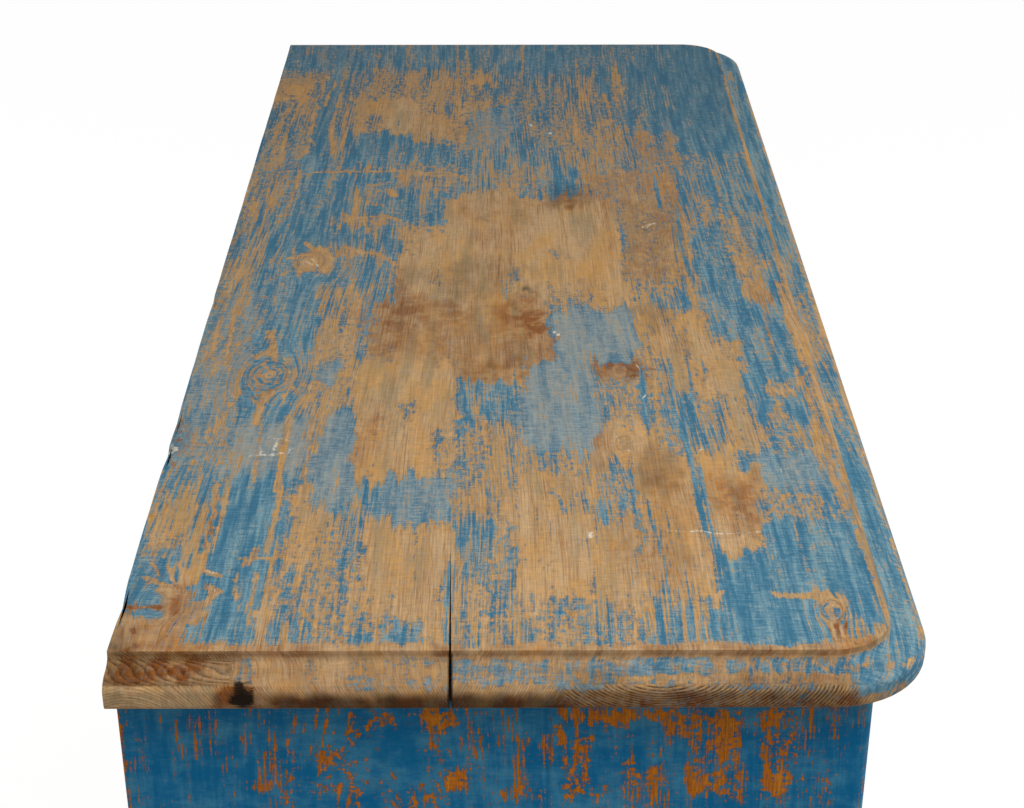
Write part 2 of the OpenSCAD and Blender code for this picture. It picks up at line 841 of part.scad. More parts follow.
// A thin iron box on the back of the door, open for the key in front and for the bolt at its edge
module lock_case(side) {
    low = key_z - lock_case_below;
    high = key_z + lock_case_above;
    color(dark_iron) hand(side) difference() {
        block([lock_left, face_rear, low], [lock_right, lock_rear, high]);
        block([lock_left + lock_wall, face_rear + lock_wall, low + lock_wall],
            [lock_right - lock_wall, lock_rear - lock_wall, high - lock_wall]);
        keyhole(face_rear - cut, face_rear + lock_wall + cut);
        block([lock_right - lock_wall - cut, bolt_front - lock_clearance,
                bolt_low - lock_clearance],
            [lock_right + cut, bolt_front + bolt_thickness + lock_clearance,
                bolt_low + bolt_height + lock_clearance]);
    }
}

// The bolt lies drawn back, so the door opens; the key's bit passes through its notch
module lock_bolt(side) {
    middle = key_x - bolt_throw / 2;
    color(dark_iron) hand(side) difference() {
        block([bolt_right - bolt_length, bolt_front, bolt_low],
            [bolt_right, bolt_front + bolt_thickness, bolt_low + bolt_height]);
        block([middle - notch_half, bolt_front - cut, bolt_low - cut],
            [middle + notch_half, bolt_front + bolt_thickness + cut,
                key_z + bit_corner + lock_clearance]);
    }
}

// Key with a ring bow, its bit pointing down inside the lock
module door_key(side) {
    color(dark_iron) hand(side) union() {
        rod_y(key_x, key_z, key_shank_radius, bow_y + key_bow_radius - key_bow_ring / 2, bit_rear);
        block([key_x - key_bit_thickness / 2, bit_rear - key_bit_length,
                key_z - key_bit_reach],
            [key_x + key_bit_thickness / 2, bit_rear, key_z]);
        translate([key_x - key_bow_thickness / 2, bow_y, key_z]) rotate([0, 90, 0])
            difference() {
                cylinder(r = key_bow_radius, h = key_bow_thickness);
                translate([0, 0, -cut])
                    cylinder(r = key_bow_radius - key_bow_ring, h = key_bow_thickness + 2 * cut);
            }
    }
}

// Dovetails in profile, along Y and Z, spread over the height of the drawer side
module tails(low_x, high_x) {
    pitch = drawer_side_height / tail_count;
    translate([low_x, 0, 0]) rotate([90, 0, 90]) linear_extrude(high_x - low_x)
        for (i = [0 : tail_count - 1]) {
            z = drawer_low + (i + 0.5) * pitch;
            polygon([
                [front_rear, z - tail_root], [front_rear - tail_length, z - tail_tip],
                [front_rear - tail_length, z + tail_tip], [front_rear, z + tail_root]
            ]);
        }
}

// Space that the drawer bottom and its clearance take in the members around it
module drawer_groove(low_x, high_x, low_y, high_y) {
    block([low_x, low_y, drawer_bottom_low - drawer_groove_clearance],
        [high_x, high_y, drawer_bottom_high + drawer_groove_clearance]);
}

module drawer_front(side) {
    inside = drawer_side_thickness;
    color(paint_blue) hand(side) difference() {
        block([drawer_outer, case_front, drawer_opening_low + front_gap],
            [drawer_inner, front_rear, drawer_opening_high - front_gap]);
        tails(drawer_outer - cut, drawer_outer + inside);
        tails(drawer_inner - inside, drawer_inner + cut);
        drawer_groove(drawer_outer + inside - drawer_groove_depth,
            drawer_inner - inside + drawer_groove_depth,
            front_rear - drawer_groove_depth, front_rear + cut);
        rod_y(knob_x, knob_z, knob_tenon_radius + tenon_clearance,
            case_front - cut, front_rear + cut);
    }
}

// A drawer side with its dovetails; the outer one stands beside the case, the inner one
// beside the muntin
module drawer_side(side, place) {
    left = place == "outer" ? drawer_outer : drawer_inner - drawer_side_thickness;
    groove_x = place == "outer" ? left + drawer_side_thickness - drawer_groove_depth : left - cut;
    color(bare_pine) hand(side) difference() {
        union() {
            block([left, front_rear, drawer_low],
                [left + drawer_side_thickness, drawer_rear, drawer_low + drawer_side_height]);
            tails(left, left + drawer_side_thickness);
        }
        drawer_groove(groove_x, groove_x + drawer_groove_depth + cut,
            front_rear - drawer_groove_depth, drawer_rear + cut);
    }
}

module drawer_back(side) {
    inside = drawer_side_thickness;
    color(bare_pine) hand(side)
        block([drawer_outer + inside, drawer_rear - drawer_side_thickness, drawer_bottom_high],
            [drawer_inner - inside, drawer_rear, drawer_low + drawer_side_height]);
}

module drawer_bottom(side) {
    reach = drawer_side_thickness - drawer_groove_depth;
    color(bare_pine) hand(side)
        block([drawer_outer + reach, front_rear - drawer_groove_depth, drawer_bottom_low],
            [drawer_inner - reach, drawer_rear, drawer_bottom_high]);
}

// A turned knob: a waisted stem, a full round head and the tenon in the drawer front
module drawer_knob(side) {
    stem_radius = knob_radius - 7;
    waist_radius = knob_radius - 9;
    stem_length = 12;
    head = knob_projection - stem_length;
    color(paint_blue) hand(side) translate([knob_x, case_front, knob_z]) rotate([90, 0, 0])
        rotate_extrude() polygon(concat(
            [[0, -drawer_front_thickness], [knob_tenon_radius, -drawer_front_thickness],
             [knob_tenon_radius, 0]],
            [for (i = [0 : arc_steps]) let (a = 180 * i / arc_steps)
                [waist_radius + (stem_radius - waist_radius) * abs(cos(a)),
                 stem_length * i / arc_steps]],
            [for (i = [0 : arc_steps]) let (a = 90 * i / arc_steps)
                [max(0, stem_radius + (knob_radius - stem_radius) * sin(a)),
                 stem_length + head * 0.45 * (1 - cos(a))]],
            [for (i = [1 : arc_steps]) let (a = 90 * i / arc_steps)
                [knob_radius * cos(a), stem_length + head * (0.45 + 0.55 * sin(a))]]
        ));
}

top_rear_board();
top_front_board();
side_front_board("left");  // side_left_front_board
side_rear_board("left");  // side_left_rear_board
side_front_board("right");  // side_right_front_board
side_rear_board("right");  // side_right_rear_board
stile("left");  // stile_left
stile("right");  // stile_right
top_rail();
drawer_rail();
bottom_rail();
drawer_muntin();
door_muntin();
back_boards();
bottom_board();
shelf();
shelf_battens();
drawer_runners();
kickers();
plinth_front();
plinth_side("left");  // plinth_left
plinth_side("right");  // plinth_right
plinth_back();
turned_feet();
case_hinges("left");  // case_hinges_left
case_hinges("right");  // case_hinges_right
door_hinge_stile("left");  // door_left_hinge_stile
door_lock_stile("left");  // door_left_lock_stile
door_rail("left", "top");  // door_left_top_rail
door_rail("left", "bottom");  // door_left_bottom_rail
door_panel("left");  // door_left_panel
door_pegs("left");  // door_left_pegs
door_hinge_leaves("left");  // door_left_hinge_leaves
escutcheon("left");  // door_left_escutcheon
lock_case("left");  // door_left_lock_case
lock_bolt("left");  // door_left_bolt
door_key("left");  // door_left_key
door_hinge_stile("right");  // door_right_hinge_stile
door_lock_stile("right");  // door_right_lock_stile
door_rail("right", "top");  // door_right_top_rail
door_rail("right", "bottom");  // door_right_bottom_rail
door_panel("right");  // door_right_panel
door_pegs("right");  // door_right_pegs
door_hinge_leaves("right");  // door_right_hinge_leaves
escutcheon("right");  // door_right_escutcheon
lock_case("right");  // door_right_lock_case
lock_bolt("right");  // door_right_bolt
door_key("right");  // door_right_key
drawer_front("left");  // drawer_left_front
drawer_side("left", "outer");  // drawer_left_outer_side
drawer_side("left", "inner");  // drawer_left_inner_side
drawer_back("left");  // drawer_left_back
drawer_bottom("left");  // drawer_left_bottom
drawer_knob("left");  // drawer_left_knob
drawer_front("right");  // drawer_right_front
drawer_side("right", "outer");  // drawer_right_outer_side
drawer_side("right", "inner");  // drawer_right_inner_side
drawer_back("right");  // drawer_right_back
drawer_bottom("right");  // drawer_right_bottom
drawer_knob("right");  // drawer_right_knob
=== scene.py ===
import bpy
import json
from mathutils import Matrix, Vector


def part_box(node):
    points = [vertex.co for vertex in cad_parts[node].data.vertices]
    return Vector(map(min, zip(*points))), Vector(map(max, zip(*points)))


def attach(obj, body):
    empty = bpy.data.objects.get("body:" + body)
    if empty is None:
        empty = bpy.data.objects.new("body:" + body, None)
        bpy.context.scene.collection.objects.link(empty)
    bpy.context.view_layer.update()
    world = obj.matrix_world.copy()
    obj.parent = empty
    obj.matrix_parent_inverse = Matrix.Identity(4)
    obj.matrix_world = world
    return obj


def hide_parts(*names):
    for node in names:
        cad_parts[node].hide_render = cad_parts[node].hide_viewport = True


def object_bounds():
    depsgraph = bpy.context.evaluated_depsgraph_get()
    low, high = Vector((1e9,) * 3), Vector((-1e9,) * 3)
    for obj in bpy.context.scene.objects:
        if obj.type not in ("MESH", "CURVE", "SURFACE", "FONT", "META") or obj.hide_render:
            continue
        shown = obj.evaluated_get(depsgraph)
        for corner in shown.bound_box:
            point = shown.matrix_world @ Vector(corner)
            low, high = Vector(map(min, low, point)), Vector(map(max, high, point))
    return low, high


bl_info = {
    "name": "Painted cupboard",
    "version": (1, 0, 0),
    "blender": (4, 5, 0),
    "location": "View3D > Sidebar > Cupboard",
    "description": "Dresses an old pine cupboard in worn blue paint, bare wood and old ironwork",
    "category": "Add Mesh",
}

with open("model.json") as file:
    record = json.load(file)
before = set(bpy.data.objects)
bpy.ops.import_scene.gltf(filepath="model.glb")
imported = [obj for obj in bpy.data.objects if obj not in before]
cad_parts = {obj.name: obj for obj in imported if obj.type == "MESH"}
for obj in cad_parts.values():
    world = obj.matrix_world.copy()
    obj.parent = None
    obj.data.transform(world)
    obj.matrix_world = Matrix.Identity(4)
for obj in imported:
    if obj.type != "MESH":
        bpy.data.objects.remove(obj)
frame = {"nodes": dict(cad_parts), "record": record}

import json
from math import cos, radians, sin

import bpy
import numpy as np
from bpy.props import FloatProperty, FloatVectorProperty, PointerProperty
from mathutils import Matrix, Vector, noise

CAD_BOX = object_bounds()
MM = 0.001
BODY_OF = {node: body for body, nodes in frame["record"]["behaviour"]["bodies"].items()
           for node in nodes}
SLOT_OF = {part["node"]: part["material_slot"] for part in frame["record"]["subparts"]}
TOP_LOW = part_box("top_rear_board")[0].z


def linear(code):
    """The linear colour, with alpha, of an sRGB hex code."""
    parts = [int(code[i:i + 2], 16) / 255 for i in (1, 3, 5)]
    parts = [p / 12.92 if p <= 0.04045 else ((p + 0.055) / 1.055) ** 2.4 for p in parts]
    return (*parts, 1.0)


def colour(name, code, description):
    """A colour property whose default is an sRGB hex code."""
    return FloatVectorProperty(name=name, description=description, subtype="COLOR", size=4,
                               min=0, max=1, default=linear(code))


def length(name, millimetres, description):
    """A length property whose default is in millimetres."""
    return FloatProperty(name=name, description=description, unit="LENGTH", min=0,
                         default=millimetres * MM)


# Settings

class CupboardPaint(bpy.types.PropertyGroup):
    top_deep: colour("Top, deep", "#396c86", "Unfaded paint on the top")
    top_pale: colour("Top, pale", "#76949b", "Rubbed paint on the top")
    # The far end's dark paint is partly painted shade, where less light falls, and partly paint
    # that stayed unbleached
    top_dark: colour("Top, dark", "#1d5269", "Paint on the far end of the top, never bleached")
    top_chalk: colour("Top, chalky", "#93948c", "Paint on the top that has turned to chalk")
    case_deep: colour("Case, deep", "#0a5f8b", "Unfaded paint on the case")
    case_pale: colour("Case, pale", "#43809a", "Rubbed paint on the case")
    case_chalk: colour("Case, chalky", "#55758a", "Paint on the case that has turned to chalk")


class CupboardWood(bpy.types.PropertyGroup):
    rubbed: colour("Rubbed pine", "#be9c72", "Pine where the paint has long been rubbed off")
    late: colour("Late wood", "#95693f", "Hard, dark part of each year ring on rubbed pine")
    rubbed_case: colour("Rubbed pine, case", "#bf7a24", "Resin-brown pine that the case shows")
    late_case: colour("Late wood, case", "#8c4c14", "Dark part of each year ring on the case")
    fresh: colour("Pine in chips", "#c29150", "Resinous pine in small chips in the paint")
    fresh_case: colour("Pine in chips, case", "#b8680f", "The same on the sides of the case")
    dull: colour("Dull pine", "#93805f", "Bare pine that dirt has turned grey-brown")
    stain: colour("Stain", "#bf9468", "Old water and oil stains")
    inside: colour("Inside", "#b58a58", "Unpainted pine inside the case")
    end_grain: colour("End grain", "#3a2415", "Dark rings in end grain")
    ring: length("Ring", 2.4, "Usual distance between two year rings")


class CupboardShape(bpy.types.PropertyGroup):
    arris: length("Arris", 1.2, "Width of the worn round on every edge")
    top_cell: length("Top cell", 8, "Cell that the top is cut into before it is halved")
    case_cell: length("Case cell", 14, "Largest cell that the other pieces are cut into")
    nail: length("Nail head", 2.6, "Radius of the nail heads in the back")


class CupboardStage(bpy.types.PropertyGroup):
    eye: FloatVectorProperty(name="Eye", description="Where the camera stands", subtype="XYZ",
                             unit="LENGTH", size=3, default=(-1.5685, 0.0108, 1.6098))
    pitch: FloatProperty(name="Pitch", description="How far the camera looks down",
                         subtype="ANGLE", default=radians(28.02))
    yaw: FloatProperty(name="Yaw", description="How far the camera turns away from +X",
                       subtype="ANGLE", default=radians(-0.255))
    lens: FloatProperty(name="Lens", description="Focal length on a 36 mm frame",
                        subtype="DISTANCE_CAMERA", default=69.71)
    key: FloatProperty(name="Main lamp", description="Power of the lamp over the cupboard",
                       subtype="POWER", default=28)
    sky: FloatProperty(name="Sky", description="Strength of the even light", min=0, default=0.34)


# Meshes

def only(piece):
    """Makes a piece the one selected and active object."""
    bpy.ops.object.select_all(action="DESELECT")
    piece.select_set(True)
    bpy.context.view_layer.objects.active = piece


def modified(piece, kind, **settings):
    """Adds a modifier and applies it."""
    only(piece)
    bpy.ops.object.modifier_add(type=kind)
    modifier = piece.modifiers[-1]
    for key, value in settings.items():
        setattr(modifier, key, value)
    bpy.ops.object.modifier_apply(modifier=modifier.name)


def copy_of(node, name, arris, leave=None):
    """A new piece from a CAD node's mesh: merged, its flat faces joined, and its sharp edges
    softened, apart from those whose middle the test leave picks out."""
    mesh = frame["nodes"][node].data.copy()
    mesh.materials.clear()
    piece = bpy.data.objects.new(name, mesh)
    bpy.context.collection.objects.link(piece)
    only(piece)
    bpy.ops.object.mode_set(mode="EDIT")
    bpy.ops.mesh.select_all(action="SELECT")
    bpy.ops.mesh.customdata_custom_splitnormals_clear()
    bpy.ops.mesh.remove_doubles(threshold=1e-5)
    bpy.ops.mesh.dissolve_limited(angle_limit=radians(0.3))
    bpy.ops.mesh.select_all(action="DESELECT")
    bpy.ops.mesh.select_mode(type="EDGE")
    bpy.ops.mesh.edges_select_sharp(sharpness=radians(32))
    bpy.ops.mesh.select_mode(type="VERT")
    bpy.ops.object.mode_set(mode="OBJECT")
    places = points_of(piece)
    weights = piece.data.attributes.new("bevel_weight_edge", "FLOAT", "EDGE")
    for edge in piece.data.edges:
        middle = (places[edge.vertices[0]] + places[edge.vertices[1]]) / 2
        weights.data[edge.index].value = float(edge.select and not (leave and leave(middle)))
    modified(piece, "BEVEL", width=arris, segments=2, limit_method="WEIGHT")
    piece.data.attributes.remove(piece.data.attributes["bevel_weight_edge"])
    return piece


def cut(piece, axis, planes):
    """Cuts a whole piece along planes across one axis."""
    only(piece)
    bpy.ops.object.mode_set(mode="EDIT")
    normal = [0, 0, 0]
    normal[axis] = 1
    for place in planes:
        point = [0, 0, 0]
        point[axis] = place
        bpy.ops.mesh.select_all(action="SELECT")
        bpy.ops.mesh.bisect(plane_co=point, plane_no=normal)
    bpy.ops.object.mode_set(mode="OBJECT")


def cells(low, high, cell, margins=(1.5, 6, 15)):
    """Places to cut between two faces: close together near the edges, then even."""
    size = high - low
    near = [m * MM for m in margins if m * MM < size * 0.4]
    start, stop = low + (near[-1] if near else 0), high - (near[-1] if near else 0)
    count = max(1, round((stop - start) / cell))
    even = [start + (stop - start) * i / count for i in range(count + 1)]
    places = [low + n for n in near] + even + [high - n for n in near]
    return sorted({round(p, 6) for p in places if low + 1e-4 < p < high - 1e-4})


def points_of(piece):
    """The places of a piece's vertices, in metres."""
    places = np.empty(len(piece.data.vertices) * 3)
    piece.data.vertices.foreach_get("co", places)
    return places.reshape(-1, 3)


def move(piece, axis, steps):
    """Moves each vertex of a piece by its own step along one axis."""
    places = points_of(piece)
    places[:, axis] += steps
    piece.data.vertices.foreach_set("co", places.ravel())
    piece.data.update()


def write(piece, name, values):
    """Stores a value or a vector for each vertex, for the materials to read."""
    vector = values.ndim == 2
    layer = piece.data.attributes.new(name, "FLOAT_VECTOR" if vector else "FLOAT", "POINT")
    layer.data.foreach_set("vector" if vector else "value", values.astype(np.float32).ravel())


def drift(points, size, seed=0.0):
    """Smooth noise from about -1 to 1 at each point, with features of that size in millimetres."""
    scale = 1 / (size * MM)
    shift = Vector((seed * 7.31, seed * 3.17, seed * 5.93))
    return np.array([noise.noise(Vector(p) * scale + shift) for p in points])


def within(u, v, patch, soft):
    """How far each point lies inside a patch (u0, u1, v0, v1): 0 outside to 1 inside, with soft
    borders of the two widths in soft."""
    share = 1.0
    for w, w0, w1, border in ((u, *patch[:2], soft[0]), (v, *patch[2:], soft[1])):
        half = (w1 - w0) / 2
        border = min(border, half * 0.9)
        inside = np.clip(0.5 + (half - np.abs(w - (w0 + w1) / 2)) / (2 * border), 0, 1)
        share = share * inside * inside * (3 - 2 * inside)
    return share


def painted_over(start, u, v, patches, soft=(12, 5)):
    """Lays patches (u0, u1, v0, v1, value) over a level one after the other, as with a brush."""
    level = np.full(len(u), float(start)) if np.isscalar(start) else start.copy()
    for u0, u1, v0, v1, value in patches:
        level += (value - level) * within(u, v, (u0, u1, v0, v1), soft)
    return level


def stroked(level, u, v, strokes):
    """Lays strokes (u, v of one end, u, v of the other, half width, value) over a level."""
    for u0, v0, u1, v1, half, value in strokes:
        du, dv = u1 - u0, v1 - v0
        share = np.clip(((u - u0) * du + (v - v0) * dv) / (du * du + dv * dv), 0, 1)
        far = np.hypot(u - u0 - share * du, v - v0 - share * dv)
        level = level + (value - level) * np.clip(1.5 - far / half, 0, 1)
    return level


def islands(piece):
    """Boxes (lowest and highest corners) of the loose solids in a piece."""
    owner = list(range(len(piece.data.vertices)))

    def root(i):
        while owner[i] != i:
            owner[i] = owner[owner[i]]
            i = owner[i]
        return i

    for edge in piece.data.edges:
        a, b = root(edge.vertices[0]), root(edge.vertices[1])
        owner[a] = b
    places = points_of(piece)
    roots = np.array([root(i) for i in range(len(owner))])
    return [(places[roots == r].min(0), places[roots == r].max(0)) for r in sorted(set(roots))]


def seat(piece, node):
    """The piece stands for a CAD node: its body and its place are the node's."""
    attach(piece, BODY_OF[node])
    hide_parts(node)


def smooth(piece, angle=32):
    """Smooth shading over shallow edges."""
    only(piece)
    bpy.ops.object.shade_smooth_by_angle(angle=radians(angle))


# Materials

STRAW = "#e2c694"
SCUFF = "#cfc9b8"
CHIP_RIM = "#23241f"
SOOT_AND_SHADE = "#140f0a"
# Soot colour; it also stands for painted shade under the top, in the slit between the boards and
# along the panels' frames
DUST = "#1d1812"
# How a kind of node is used unless a call says otherwise: its settings, the sockets that a plain
# list of feeds goes to, and its output
USUAL = {"MapRange": ({"interpolation_type": "SMOOTHSTEP"}, range(5), 0),
         "Mix": ({"data_type": "RGBA"}, (0, 6, 7), 2)}


def put(tree, kind, feeds=(), out=None, **settings):
    """Adds a node, sets it, feeds its sockets with values or with other nodes' sockets, and gives
    its output."""
    usual, sockets, usual_out = USUAL.get(kind, ({}, range(9), 0))
    node = tree.nodes.new("ShaderNode" + kind)
    for key, value in {**usual, **settings}.items():
        setattr(node, key, value)
    for key, value in feeds.items() if isinstance(feeds, dict) else zip(sockets, feeds):
        if isinstance(value, bpy.types.NodeSocket):
            tree.links.new(value, node.inputs[key])
        else:
            node.inputs[key].default_value = value
    return node.outputs[usual_out if out is None else out] if node.outputs else None


def sum_of(tree, start, *terms):
    """start + weight * (socket - middle) for each term (socket, weight, middle)."""
    total = start
    for socket, weight, middle in terms:
        part = put(tree, "Math", (socket, weight, -middle * weight), operation="MULTIPLY_ADD")
        total = part if total is None else put(tree, "Math", (total, part))
    return total


def stretched(tree, vector, millimetres, detail=2.0, rough=0.5):
    """Noise whose features are about that many millimetres long, wide and deep."""
    scaled = put(tree, "VectorMath", (vector, [1 / (m * MM) for m in millimetres]),
                 operation="MULTIPLY")
    return put(tree, "TexNoise", {"Vector": scaled, "Scale": 1.0, "Detail": detail,
                                  "Roughness": rough})


def laid_over(tree, under, over, value, low, high, bottom=0.0, top=1.0):
    """One colour over another: as the value goes from low to high, its share goes from bottom to
    top."""
    share = put(tree, "MapRange", (value, low, high, bottom, top))
    return put(tree, "Mix", (share, under, over))


def shaded(tree, shade, value, low, high, darkest, lightest):
    """A colour made darker or lighter as a value goes from low to high."""
    factor = put(tree, "MapRange", (value, low, high, darkest, lightest),
                 interpolation_type="LINEAR")
    grey = put(tree, "CombineColor", (factor, factor, factor))
    return put(tree, "Mix", (1.0, shade, grey), blend_type="MULTIPLY")


def darker(shade, share):
    """A colour with that share of its light."""
    return tuple(c * share for c in shade[:3]) + (1.0,)


def new_material(name):
    """An empty material and its node tree."""
    material = bpy.data.materials.new(name)
    material.use_nodes = True
    material.node_tree.nodes.clear()
    return material, material.node_tree


def finish_material(tree, base, rough, height, depth, metal=0.0, specular=0.04):
    """The shader at the end of each material, with its bump."""
    bump = put(tree, "Bump", {"Strength": 1.0, "Distance": depth, "Height": height})
    shader = put(tree, "BsdfPrincipled", {"Base Color": base, "Roughness": rough, "Normal": bump,
                                          "Metallic": metal, "Specular IOR Level": specular})
    put(tree, "OutputMaterial", {"Surface": shader})


def rings_of(tree, grain, ring):
    """Year rings: a slow rise from early to late wood, then a sudden fall, unevenly spaced."""
    from_heart = put(tree, "SeparateXYZ", (grain,), 1)
    wander = stretched(tree, grain, (300, 14, 80))
    phase = sum_of(tree, None, (from_heart, 1 / ring, 0.0), (wander, 1.8, 0.5))
    part = put(tree, "Math", (phase,), operation="FRACT")
    rise = put(tree, "MapRange", (part, 0.15, 0.86))
    fall = put(tree, "MapRange", (part, 0.9, 1.0, 1.0, 0.0))
    return put(tree, "Math", (rise, fall), operation="MULTIPLY")


def pine_colours(tree, grain, rings, light, late):
    """Pine: pale early wood, darker late wood, short fibres, slow changes from board to board."""
    fibre = stretched(tree, grain, (16, 0.8, 4), 3.0, 0.65)
    band = stretched(tree, grain, (140, 6, 24), 3.0, 0.6)
    slow = stretched(tree, grain, (230, 40, 60))
    hair = stretched(tree, grain, (44, 0.8, 7), 2.0, 0.6)
    share = sum_of(tree, None, (rings, 0.22, 0.03), (fibre, 1.5, 0.44), (slow, 1.7, 0.5),
                   (band, 1.8, 0.5), (hair, 2.3, 0.5))
    share = put(tree, "MapRange", (share,), interpolation_type="LINEAR")
    body = put(tree, "Mix", (share, light, late))
    return laid_over(tree, body, darker(late, 0.55), fibre, 0.58, 0.8, 0.0, 0.5), fibre


def worn_paint(name, paints, woods, ring, streak_gain, marks_gain, run, width, dots, veil):
    """Old hand-brushed oil paint on pine, rubbed and flaked along the grain. The mask between paint
    and wood is sharp, broken into streaks and dashes by the year rings, and follows the wear that
    each piece carries. The last six values set how strong the streaks and the brush marks are, how
    long and how wide the streaks are, how many dots there are, and how far paint and wood show
    through each other."""
    deep, pale, dark, chalk = (tuple(paint) for paint in paints)
    wood, late, fresh, dull, stain, dark_rings = (tuple(shade) for shade in woods)
    material, tree = new_material(name)
    grain = put(tree, "Attribute", (), "Vector", attribute_name="grain")
    wear, chalky, stained, grime_and_shade, light, ends = (
        put(tree, "Attribute", (), "Fac", attribute_name=layer)
        for layer in ("wear", "chalk", "stain", "grime_and_shade", "light", "ends"))
    place = put(tree, "TexCoord", (), "Object")
    rings = rings_of(tree, grain, ring)
    streak = stretched(tree, grain, (42 * run, 1.3 * width, 6), 3.0, 0.6)
    dash = stretched(tree, grain, (9 * run, 0.8, 3), 2.0, 0.6)
    speck = stretched(tree, place, (1.3, 1.3, 1.3), 3.0, 0.7)
    mottle = stretched(tree, place, (8 * width, 5 * width, 5 * width), 5.0, 0.68)
    strand = stretched(tree, grain, (70 * run, 3.4 * width, 12), 3.0, 0.6)
    broad = stretched(tree, grain, (80, 11, 24), 3.0, 0.6)
    cross = stretched(tree, grain, (1.5, 20, 10), 3.0, 0.6)

    # Some places wear in long streaks that follow the year rings, others in lace
    streaky = sum_of(tree, None, (streak, streak_gain, 0.5), (dash, streak_gain * 0.5, 0.5),
                     (strand, 1.3, 0.5), (rings, 0.3, 0.5), (speck, 0.6 * dots, 0.5),
                     (mottle, 0.6, 0.5))
    lacy = sum_of(tree, None, (mottle, 2.1, 0.5), (speck, 1.3 * dots, 0.5),
                  (streak, streak_gain * 0.5, 0.5), (strand, 0.5, 0.5), (dash, 0.6, 0.5),
                  (rings, 0.12, 0.5))
    zone = put(tree, "MapRange", (stretched(tree, place, (130, 34, 60), 1.0), 0.4, 0.54))
    zone = put(tree, "Math", (zone, put(tree, "MapRange", (ends, 0.0, 0.06))), operation="MAXIMUM")
    fray = put(tree, "Mix", {0: zone, 2: streaky, 3: lacy}, 0, data_type="FLOAT")
    level = sum_of(tree, wear, (fray, 1.0, 0.0), (broad, 1.2, 0.5), (cross, 0.45, 0.5))
    bare = put(tree, "MapRange", (level, 0.46, 0.53))
    thin = put(tree, "MapRange", (level, 0.2, 0.48))

    # Brush marks run both ways through the paint, close together
    marks = sum_of(tree, None, (cross, 1.5 * marks_gain, 0.5), (dash, 0.6 * marks_gain, 0.5),
                   (speck, 0.7 * marks_gain, 0.5), (streak, 0.5 * marks_gain, 0.5))
    smear = stretched(tree, place, (46, 30, 17), 3.0, 0.6)
    tone = sum_of(tree, marks, (broad, 0.7 + marks_gain, 0.2), (thin, 0.22, 0.0),
                  (strand, 2.4 * marks_gain, 0.5), (smear, 2.6 * (1 - dots), 0.46))
    dusty = sum_of(tree, chalky, (marks, 0.8, 0.0), (broad, 0.9, 0.5), (mottle, 0.6, 0.5))
    shade = sum_of(tree, marks, (strand, 1.5 * marks_gain, 0.5), (mottle, 0.5, 0.5))
    paint = laid_over(tree, deep, pale, tone, 0.0, 1.0)
    # Under 0 chalk turns the paint darker: unbleached paint, and on the top painted shade towards
    # the far end
    paint = laid_over(tree, paint, dark, chalky, 0.0, -1.0)
    paint = laid_over(tree, paint, chalk, dusty, 0.2, 1.2, 0.0, 0.92)
    paint = shaded(tree, paint, shade, -0.8, 0.5, 0.62, 1.12)

    # Pine, resinous in small chips, greyed by dirt in others, with rings and stains in it
    bare_pine, fibre = pine_colours(tree, grain, rings, wood, late)
    warm = stretched(tree, place, (60, 26, 26), 4.0, 0.6)
    dirty = stretched(tree, grain, (110, 15, 30), 4.0, 0.64)
    golden = sum_of(tree, wear, (mottle, 1.1, 0.5), (broad, 1.5, 0.5))
    bare_pine = laid_over(tree, bare_pine, fresh, warm, 0.42, 0.66, 0.0, 0.75)
    bare_pine = laid_over(tree, bare_pine, dull, dirty, 0.47, 0.66, 0.0, 0.62)
    chips = laid_over(tree, fresh, darker(fresh, 0.6), fibre, 0.38, 0.7)
    pine = laid_over(tree, chips, bare_pine, golden, 0.45, 1.05)
    broken = put(tree, "MapRange", (mottle, 0.34, 0.6, 0.35, 1.0))
    end_rings = put(tree, "Math", (rings_of(tree, grain, ring * 0.62), broken),
                    operation="MULTIPLY")
    end_rings = put(tree, "Math", (end_rings, ends), operation="MULTIPLY")
    pine = put(tree, "Mix", (end_rings, pine, dark_rings))
    blotch = stretched(tree, place, (16, 16, 16), 3.0, 0.6)
    soaked = put(tree, "MapRange", (blotch, 0.38, 0.6, 0.35, 1.15))
    wet = put(tree, "Math", (stained, soaked), operation="MULTIPLY")
    pine = put(tree, "Mix", (wet, pine, stain), blend_type="MULTIPLY")
    scoured = put(tree, "MapRange", (stained, 0.0, -1.0), interpolation_type="LINEAR")
    pine = put(tree, "Mix", (scoured, pine, linear(STRAW)))
    threads = stretched(tree, place, (70, 1.1, 8), 3.0, 0.65)
    weave = sum_of(tree, None, (cross, 1.0, 0.5), (threads, 1.5, 0.5), (mottle, 0.5, 0.5))
    pine = shaded(tree, pine, weave, -0.5, 0.4, 0.66, 1.1)

    # Paint left in the pores of the pine, pine shining through thin paint, a dark rim round chips
    pores = sum_of(tree, None, (dash, 0.55, 0.0), (speck, 0.45, 0.0))
    left_over = put(tree, "MapRange", (level, 1.5, 0.5, 0.4 * veil, 2.0 * veil))
    left_over = put(tree, "Math", (left_over, put(tree, "MapRange", (pores, 0.45, 0.62))),
                    operation="MULTIPLY")
    pine = put(tree, "Mix", (left_over, pine, put(tree, "Mix", (0.5, paint, chalk))))
    paint = laid_over(tree, paint, pine, level, 0.2, 0.46, 0.0, veil)
    paint = laid_over(tree, paint, linear(CHIP_RIM), level, 0.3, 0.47, 0.0, 0.7 * (1 - dots))
    whole = put(tree, "Mix", (bare, paint, pine))
    scuffed = sum_of(tree, light, (mottle, 1.4, 0.5), (speck, 0.9, 0.5))
    scuffed = put(tree, "MapRange", (scuffed, 0.3, 0.75))
    scuffed = put(tree, "Math", (scuffed, put(tree, "MapRange", (light, 0.02, 0.3))),
                  operation="MULTIPLY")
    whole = put(tree, "Mix", (scuffed, whole, linear(SCUFF)))
    # Dirt and painted shade darken the colour towards soot
    whole = put(tree, "Mix", (grime_and_shade, whole, linear(SOOT_AND_SHADE)))

